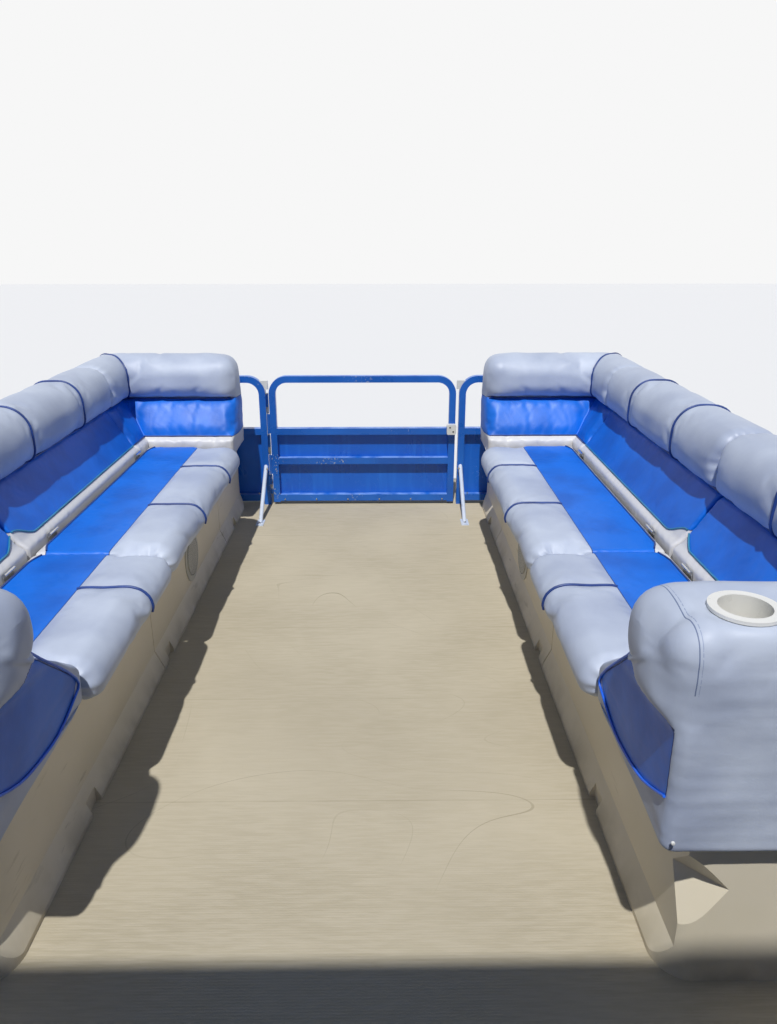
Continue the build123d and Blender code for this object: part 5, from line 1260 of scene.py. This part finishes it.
def helm_chair():
    """Chair cushions with a blue middle and grey bolsters, on a moulded pan with a bracket at each side."""
    low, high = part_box("helm_seat")
    middle = (low.x + high.x) / 2
    back_y = low.y + CHAIR_BACK
    chair_cushion("seat", Vector((low.x + 0.006, back_y + 0.006, low.z + 0.014)),
                  Vector((high.x - 0.006, high.y - 0.006, low.z + 0.104)), middle, 0.0)
    chair_cushion("back", Vector((low.x + 0.010, low.y + 0.024, low.z + 0.070)),
                  Vector((high.x - 0.010, back_y, high.z - 0.006)), middle, 0.018)
    pan = slab((low.x + 0.03, back_y - 0.06, low.z + 0.001),
               (high.x - 0.03, high.y - 0.03, low.z + 0.018), 0.06, 2)
    settle(pan, "helm_seat_pan", "helm_chair", "control_plastic", BLACK_ABS)
    shell = slab((low.x + 0.045, low.y + 0.002, low.z + 0.10),
                 (high.x - 0.045, low.y + 0.014, high.z - 0.05), 0.07, 1, 0.004)
    settle(shell, "helm_back_shell", "helm_chair", "control_plastic", BLACK_ABS)
    plates = []
    for x in (low.x, high.x - 0.005):
        for y, z in ((0.075, 0.24), (0.26, 0.068)):
            plates.append(slab((x, low.y + 0.03, low.z + 0.03), (x + 0.005, low.y + y, low.z + z), 0.018, 0))
    for x, out in ((low.x, -1), (high.x, 1)):
        for y, z in ((0.052, 0.20), (0.052, 0.049), (0.235, 0.049)):
            plates.append(head((x, low.y + y, low.z + z), (out, 0, 0), 0.006))
    settle(joined(plates), "helm_seat_brackets", "helm_chair", "pedestal_metal", STAINLESS)


# Canopy: one arched cloth over three bows, parted at the middle bow where the fold's two joints meet

CANOPY_CORNER = 0.150
BOW_RADIUS = 0.0125


def canopy_arch(half, top, foot):
    """Points of the arch from port to starboard, each with its outward direction."""
    flat, drop = half - CANOPY_CORNER, top - CANOPY_CORNER
    run = [(Vector((-half, foot + (drop - foot) * k / 5)), Vector((-1, 0))) for k in range(5)]
    for k in range(10):
        out = Vector((-cos(pi / 2 * k / 9), sin(pi / 2 * k / 9)))
        run.append((Vector((-flat, drop)) + out * CANOPY_CORNER, out))
    run += [(Vector((-flat + 2 * flat * k / 48, top)), Vector((0, 1))) for k in range(1, 24)]
    other = [(Vector((-p.x, p.y)), Vector((-out.x, out.y))) for p, out in reversed(run)]
    return run + [(Vector((0, top)), Vector((0, 1)))] + other


def canopy_point(p, out, length, width, y, start, end):
    """Point of the cloth, let in by its sag, puckers and ripples, with the foot of its arch drawn up."""
    sag = sin(pi * min(1.0, (y - start) / (end - start)))
    to_foot = min(length, width - length)
    over = 1 - fade(to_foot, 0.30)
    dip = (0.004 + 0.020 * over) * sag - 0.0020 * exp(-((y - start) / 0.020) ** 2) * over
    swirl = sin(length * 31 + 3 * noise.noise(Vector((length * 2, y, 0))))
    pucker = 0.0022 * swirl * fade(abs(y - start), 0.16) * sag
    ripple = noise.noise(Vector((length * 2.2, y * 3.1, 4.0))) * 0.006 * sag
    moved = p - out * (dip + pucker + ripple)
    return moved.x, y, moved.y + 0.026 * sag * fade(to_foot, 0.11)


def cloth_length(name, arch, start, end, edge):
    """Length of cloth from the main bow over an outer one to its hem, and its width laid flat."""
    lengths = [0.0]
    for (a, _), (b, _) in zip(arch, arch[1:]):
        lengths.append(lengths[-1] + (b - a).length)
    width, count = lengths[-1], len(arch)
    rows = stations_of(start, end, 0.036) + [(end + edge) / 2, edge]
    vertices, faces, tags = [], [], []
    for y in rows:
        for (p, out), length in zip(arch, lengths):
            vertices.append(canopy_point(p, out, length, width, y, start, end))
            tags.append((length, y, min(length, width - length, abs(edge - y)), abs(y - start)))
    for base in range(0, (len(rows) - 1) * count, count):
        faces += [(i, i + 1, i + count + 1, i + count) for i in range(base, base + count - 1)]
    mesh = bpy.data.meshes.new(name)
    mesh.from_pydata(vertices, [], faces)
    cloth = bpy.data.objects.new(name, mesh)
    bpy.context.collection.objects.link(cloth)
    for kind, values in zip(("across", "along", "hem", "sleeve"), zip(*tags)):
        layer = mesh.attributes.new(kind, "FLOAT", "POINT")
        layer.data.foreach_set("value", values)
    only(cloth)
    thick = cloth.modifiers.new("thickness", "SOLIDIFY")
    thick.thickness, thick.offset = 0.0018, 0
    bpy.ops.object.modifier_apply(modifier="thickness")
    face_out(cloth)
    refine(cloth)
    return cloth, width


def canopy():
    """The canopy's two lengths of cloth, each from the main bow over an outer bow to its hem."""
    low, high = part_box("bimini_canvas")
    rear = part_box("bimini_rear_bow")[0].y + BOW_RADIUS
    start, front = (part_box(bow)[1].y - BOW_RADIUS for bow in ("bimini_main_bow", "bimini_front_bow"))
    arch = canopy_arch(high.x - 0.0015, high.z - 0.0015, low.z + 0.004)
    for name, body, bow, end, edge in (
            ("canopy_fore_cloth", "canopy_front", "bimini_front_bow", front, high.y - 0.001),
            ("canopy_aft_cloth", "canopy_rear", "bimini_rear_bow", rear, low.y + 0.001)):
        cloth, width = cloth_length(name, arch, start, end, edge)
        cloth.data.materials.append(CANVAS)
        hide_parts("bimini_canvas")
        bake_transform(cloth)


def stations_of(start, end, cell):
    """Even places from start to end, about a cell apart."""
    pieces = max(1, round(abs(end - start) / cell))
    return [start + (end - start) * k / pieces for k in range(pieces + 1)]


# Where the aft straps meet the side rails, half the width and thickness of a strap, and points of its section
AFT_STRAP_FOOT = -2.668
STRAP_HALF = (0.0122, 0.0009)
STRAP_SECTION = ((-1, -1), (-0.33, -1), (0.33, -1), (1, -1), (1, 1), (0.33, 1), (-0.33, 1), (-1, 1))


def straps():
    """Webbing from the outer bows' corners down to the side rails, with a slide buckle and a hook on each."""
    low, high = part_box("bimini_straps")
    foot_z, head_z = low.z + 0.002, high.z
    fore_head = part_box("bimini_front_bow")[1].y + 0.016
    runs = ((Vector((0, high.y - 0.002, foot_z)), Vector((0, fore_head, head_z))),
            (Vector((0, AFT_STRAP_FOOT, foot_z)), Vector((0, low.y + 0.002, head_z))))
    webs, metal = [], []
    for foot, end in runs:
        for x in (low.x + 0.0125, high.x - 0.0125):
            way = end - foot
            across, out = Vector((1, 0, 0)), way.cross(Vector((1, 0, 0))).normalized()
            rings = []
            for k in range(61):
                share = k / 60
                centre = foot + way * share + Vector((x, 0, 0)) + out * 0.004 * sin(pi * share)
                twist = Matrix.Rotation(0.5 * sin(pi * share) * (1 if x > 0 else -1), 3, way)
                wide, thin = twist @ across * STRAP_HALF[0], twist @ out * STRAP_HALF[1]
                rings.append([centre + wide * a + thin * b for a, b in STRAP_SECTION])
            webs.append(skin("web", rings))
            for share, long in ((0.10, 0.030), (0.018, 0.022)):
                plate = slab((-0.017, -long / 2, -0.0026), (0.017, long / 2, 0.0026), 0.006, 2, 0.001, 4)
                turn = Matrix((across, way.normalized(), out)).transposed().to_4x4()
                plate.data.transform(Matrix.Translation(foot + way * share + Vector((x, 0, 0))) @ turn)
                plate.data.update()
                face_out(plate)
                metal.append(plate)
    for piece, name, slot, made in ((joined(webs), "canopy_webbing", "strap_webbing", WEBBING),
                                    (joined(metal), "canopy_strap_buckles", "cleat_metal", STAINLESS)):
        settle(piece, name, "hull", slot, made)
        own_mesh(piece)
        if slot == "strap_webbing":
            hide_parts("bimini_straps")


# Fittings

# The dash: the way up its slope, the way that it faces, and the turn from a plate's own axes to these
DASH_UP = Vector((0, 0.110, 0.240)).normalized()
DASH_OUT = Vector((0, -0.240, 0.110)).normalized()
DASH_TURN = Matrix((Vector((1, 0, 0)), DASH_UP, DASH_OUT)).transposed().to_4x4()
# Each gauge's place across the boat with its needle's angle, the middle of the switch panel, and both heights
GAUGES = ((0.705, 2.2), (0.800, 1.2), (0.895, 1.9))
GAUGE_UP = 0.195
SWITCHES = 1.045
SWITCHES_UP = 0.165


def dash_point(x, up):
    """Point a millimetre off the slope of the dash, up along it from its lower edge."""
    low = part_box("helm_console")[0]
    return Vector((x, low.y + 0.0526, DECK + 0.690)) + DASH_UP * up + DASH_OUT * 0.001


def gauges():
    """Three dials with a bezel, a scale and a needle each, and a panel of rocker switches."""
    bezels, needles, faces = [], [], []
    for x, angle in GAUGES:
        place = dash_point(x, GAUGE_UP)
        bezels.append(ring(place, DASH_OUT, 0.0375, 0.0035))
        faces.append(dial(place))
        lift = DASH_OUT * 0.0045
        tip = place + (Vector((1, 0, 0)) * cos(angle) + DASH_UP * sin(angle)) * 0.026 + lift
        needles.append(piping("needle", [[place + lift, tip]], 0.0009))
        needles.append(head(place + DASH_OUT * 0.003, DASH_OUT, 0.004))
    settle(joined(bezels), "gauge_bezels", "hull", "cleat_metal", STAINLESS)
    settle(joined(faces), "gauge_dials", "hull", "control_plastic", DIAL)
    settle(joined(needles), "gauge_needles", "hull", "bumper_plastic", WHITE_ABS)
    plate = slab((-0.055, -0.042, -0.001), (0.055, 0.042, 0.004), 0.010, 2)
    keys = []
    for middle in (-0.018, 0.018):
        for k in range(4):
            x = k * 0.0245
            keys.append(slab((x - 0.045, middle - 0.013, 0.003), (x - 0.0285, middle + 0.013, 0.0095),
                             0.003, 2, 0.0015, 3))
    for piece, name, made in ((plate, "switch_plate", WHITE_ABS),
                              (joined(keys), "rocker_switches", BLACK_ABS)):
        piece.data.transform(Matrix.Translation(dash_point(SWITCHES, SWITCHES_UP)) @ DASH_TURN)
        settle(piece, name, "hull", "control_plastic", made)


def dial(place):
    """Disc of a gauge, marked with its angle and reach for the scale."""
    bpy.ops.object.select_all(action="DESELECT")
    bpy.ops.mesh.primitive_circle_add(vertices=48, radius=0.036, fill_type="NGON")
    piece = bpy.context.object
    bpy.ops.object.mode_set(mode="EDIT")
    bpy.ops.mesh.select_all(action="SELECT")
    for _ in range(4):
        bpy.ops.mesh.inset(thickness=0.0055)
    bpy.ops.mesh.poke()
    bpy.ops.mesh.select_all(action="SELECT")
    bpy.ops.object.mode_set(mode="OBJECT")
    mark(piece, "reach", lambda co: co.length)
    mark(piece, "turn", lambda co: atan2(co.x, co.y))
    lift = piece.modifiers.new("thickness", "SOLIDIFY")
    lift.thickness, lift.offset = 0.002, -1
    bpy.ops.object.modifier_apply(modifier="thickness")
    piece.data.transform(Matrix.Translation(place + DASH_OUT * 0.0015) @ DASH_TURN)
    return piece


# Screws of the gate's sheet and of the fence's, as distances across, with their heights above the deck
GATE_SCREWS = (-0.40, -0.24, -0.08, 0.08, 0.24, 0.40)
GATE_SCREW_UP = 0.030
FENCE_SCREWS = (0.53, 0.66, 0.80, 0.96, 1.12)
FENCE_SCREW_UP = 0.060
# Bolts of a brace: two down through its foot and one through its upper end
BRACE_X = 0.489
BRACE_FOOT_BOLTS = (2.640, 2.666)
BRACE_FOOT_TOP = 0.004
BRACE_END_BOLT = (2.900, 0.196)
# Snap of the end back's skirt; the windscreen's clamps, their places across and their ends along and up
SNAP_X = 0.566
CLAMPS = (0.70, 0.875, 1.05)
CLAMP_ALONG = (-0.4660, -0.4480)
CLAMP_UP = (0.924, 0.962)
# Welds round a float: the inner side of the mooring eye over its centre line, radius, and places along it
EYE_INNER = 0.845
WELD_RADIUS = 0.3052
WELDS = (-2.30, -0.70, 0.90, 2.50)
AFT, UP = Vector((0, -1, 0)), Vector((0, 0, 1))


def deck_fittings():
    """Screws of the gate and fence, brace bolts, latch screws, the skirt's snap, and the console's door."""
    gate_y, fence_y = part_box("bow_gate_frame")[0].y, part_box("fence_bow")[0].y
    rows = [head((x, gate_y, DECK + GATE_SCREW_UP), AFT, 0.0042) for x in GATE_SCREWS]
    settle(joined(rows), "bow_gate_screws", "bow_gate", "cleat_metal", STAINLESS)
    rows = [head((side * x, fence_y, DECK + FENCE_SCREW_UP), AFT, 0.0042)
            for side in (-1, 1) for x in FENCE_SCREWS]
    for side in (-1, 1):
        x = side * BRACE_X
        rows += [head((x, y, DECK + BRACE_FOOT_TOP), UP, 0.0070, 0.7, 6) for y in BRACE_FOOT_BOLTS]
        y, z = BRACE_END_BOLT
        rows.append(head((x - side * 0.0095, y, DECK + z), (-side, 0, 0), 0.0075, 0.6, 6))
    settle(joined(rows), "fence_and_brace_bolts", "hull", "cleat_metal", STAINLESS)
    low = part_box("bow_gate_latch")[0]
    dots = [head((low.x + x, low.y, low.z + z), AFT, 0.0040, 0.4)
            for x, z in ((0.015, 0.036), (0.031, 0.015))]
    settle(joined(dots), "latch_screws", "bow_gate", "control_plastic", BLACK_ABS)
    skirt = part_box("end_back_starboard")[0].y - 0.004
    snaps = [head((side * SNAP_X, skirt, DECK + 0.366), AFT, 0.0034) for side in (-1, 1)]
    settle(joined(snaps), "skirt_snaps", "hull", "bumper_plastic", WHITE_ABS)
    low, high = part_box("helm_console")
    aft = low.y + 0.1126
    door = slab((low.x + 0.045, aft - 0.009, DECK + 0.070), (high.x - 0.045, aft + 0.002, DECK + 0.450),
                0.028, 1, 0.003)
    settle(door, "console_door", "hull", "console_plastic", GELCOAT)
    pull = [ring((low.x + 0.10, aft - 0.011, DECK + 0.400), AFT, 0.017, 0.0035, 28),
            head((low.x + 0.10, aft - 0.009, DECK + 0.400), AFT, 0.014)]
    settle(joined(pull), "console_door_latch", "hull", "cleat_metal", STAINLESS)
    clamps = [slab((x - 0.014, CLAMP_ALONG[0], DECK + CLAMP_UP[0]),
                   (x + 0.014, CLAMP_ALONG[1], DECK + CLAMP_UP[1]), 0.005, 0) for x in CLAMPS]
    settle(joined(clamps), "windscreen_clamps", "hull", "cleat_metal", STAINLESS)


def float_welds():
    """Weld beads where the lengths of each float's tube meet."""
    low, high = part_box("bow_eyes")
    level, x = (low.z + high.z) / 2, (high.x + EYE_INNER) / 2
    beads = [ring((side * x, y, level), (0, 1, 0), WELD_RADIUS, 0.0035, 72)
             for side in (-1, 1) for y in WELDS]
    settle(joined(beads), "float_weld_beads", "hull", "float_aluminium", MILL)


lounge_cushions()
bench_cushions()
for node in ("seat_fore_port", "seat_fore_starboard", "seat_aft_port", "seat_aft_starboard",
             "aft_bench_seat"):
    seat_board(node)
helm_chair()
canopy()
straps()
gauges()
deck_fittings()
float_welds()


# Floor, backdrop, light and camera

def stage():
    """Pale floor at the waterline."""
    bpy.ops.mesh.primitive_plane_add(size=60)
    floor = bpy.context.object
    floor.name = "floor"
    floor.data.materials.append(finish("pale floor", Base_Color=linear("ECEAE6"), Roughness=0.9)[0])


def lights():
    """Sky light from the world, with a plain pale backdrop, and one sun."""
    world = bpy.data.worlds.new("studio")
    bpy.context.scene.world = world
    world.use_nodes = True
    tree = world.node_tree
    sky = tree.nodes["Background"]
    sky.inputs["Color"].default_value = linear("A9C6FA")
    sky.inputs["Strength"].default_value = 0.21
    seen = add(tree, "Background", {"Color": linear("F7F7F7"), "Strength": 1.0})
    rays = add(tree, "LightPath").outputs
    either = rays["Is Camera Ray"]
    for kind in ("Is Glossy Ray", "Is Transmission Ray"):
        either = add(tree, "Math", links={0: either, 1: rays[kind]}, operation="MAXIMUM").outputs[0]
    mix = add(tree, "MixShader", links={0: either, 1: sky.outputs[0], 2: seen.outputs[0]})
    tree.links.new(mix.outputs[0], tree.nodes["World Output"].inputs["Surface"])
    bpy.ops.object.light_add(type="SUN", rotation=SUN_TURN)
    sun = bpy.context.object.data
    sun.energy = 3.3
    sun.angle = radians(1)


# Turn of the sun, from the lean of the shadows in the photo
SUN_TURN = Vector((0.085, 0.56, -1.0)).to_track_quat("-Z", "Y").to_euler()

# Camera, from the vanishing point of the deck and the height of the fence
EYE = Vector((0.088, -0.80, DECK + 1.31))
PITCH = radians(70)
ROLL = radians(-0.6)
LENS = 27.04


def camera():
    """Camera at the height of a standing person's chest, looking forward and down."""
    bpy.ops.object.camera_add(location=EYE, rotation=(PITCH, 0, ROLL))
    view = bpy.context.object
    view.data.lens = LENS
    view.data.sensor_width = 36
    view.data.clip_start = 0.05
    bpy.context.scene.camera = view


stage()
lights()
camera()
bpy.context.scene.view_settings.view_transform = "Standard"
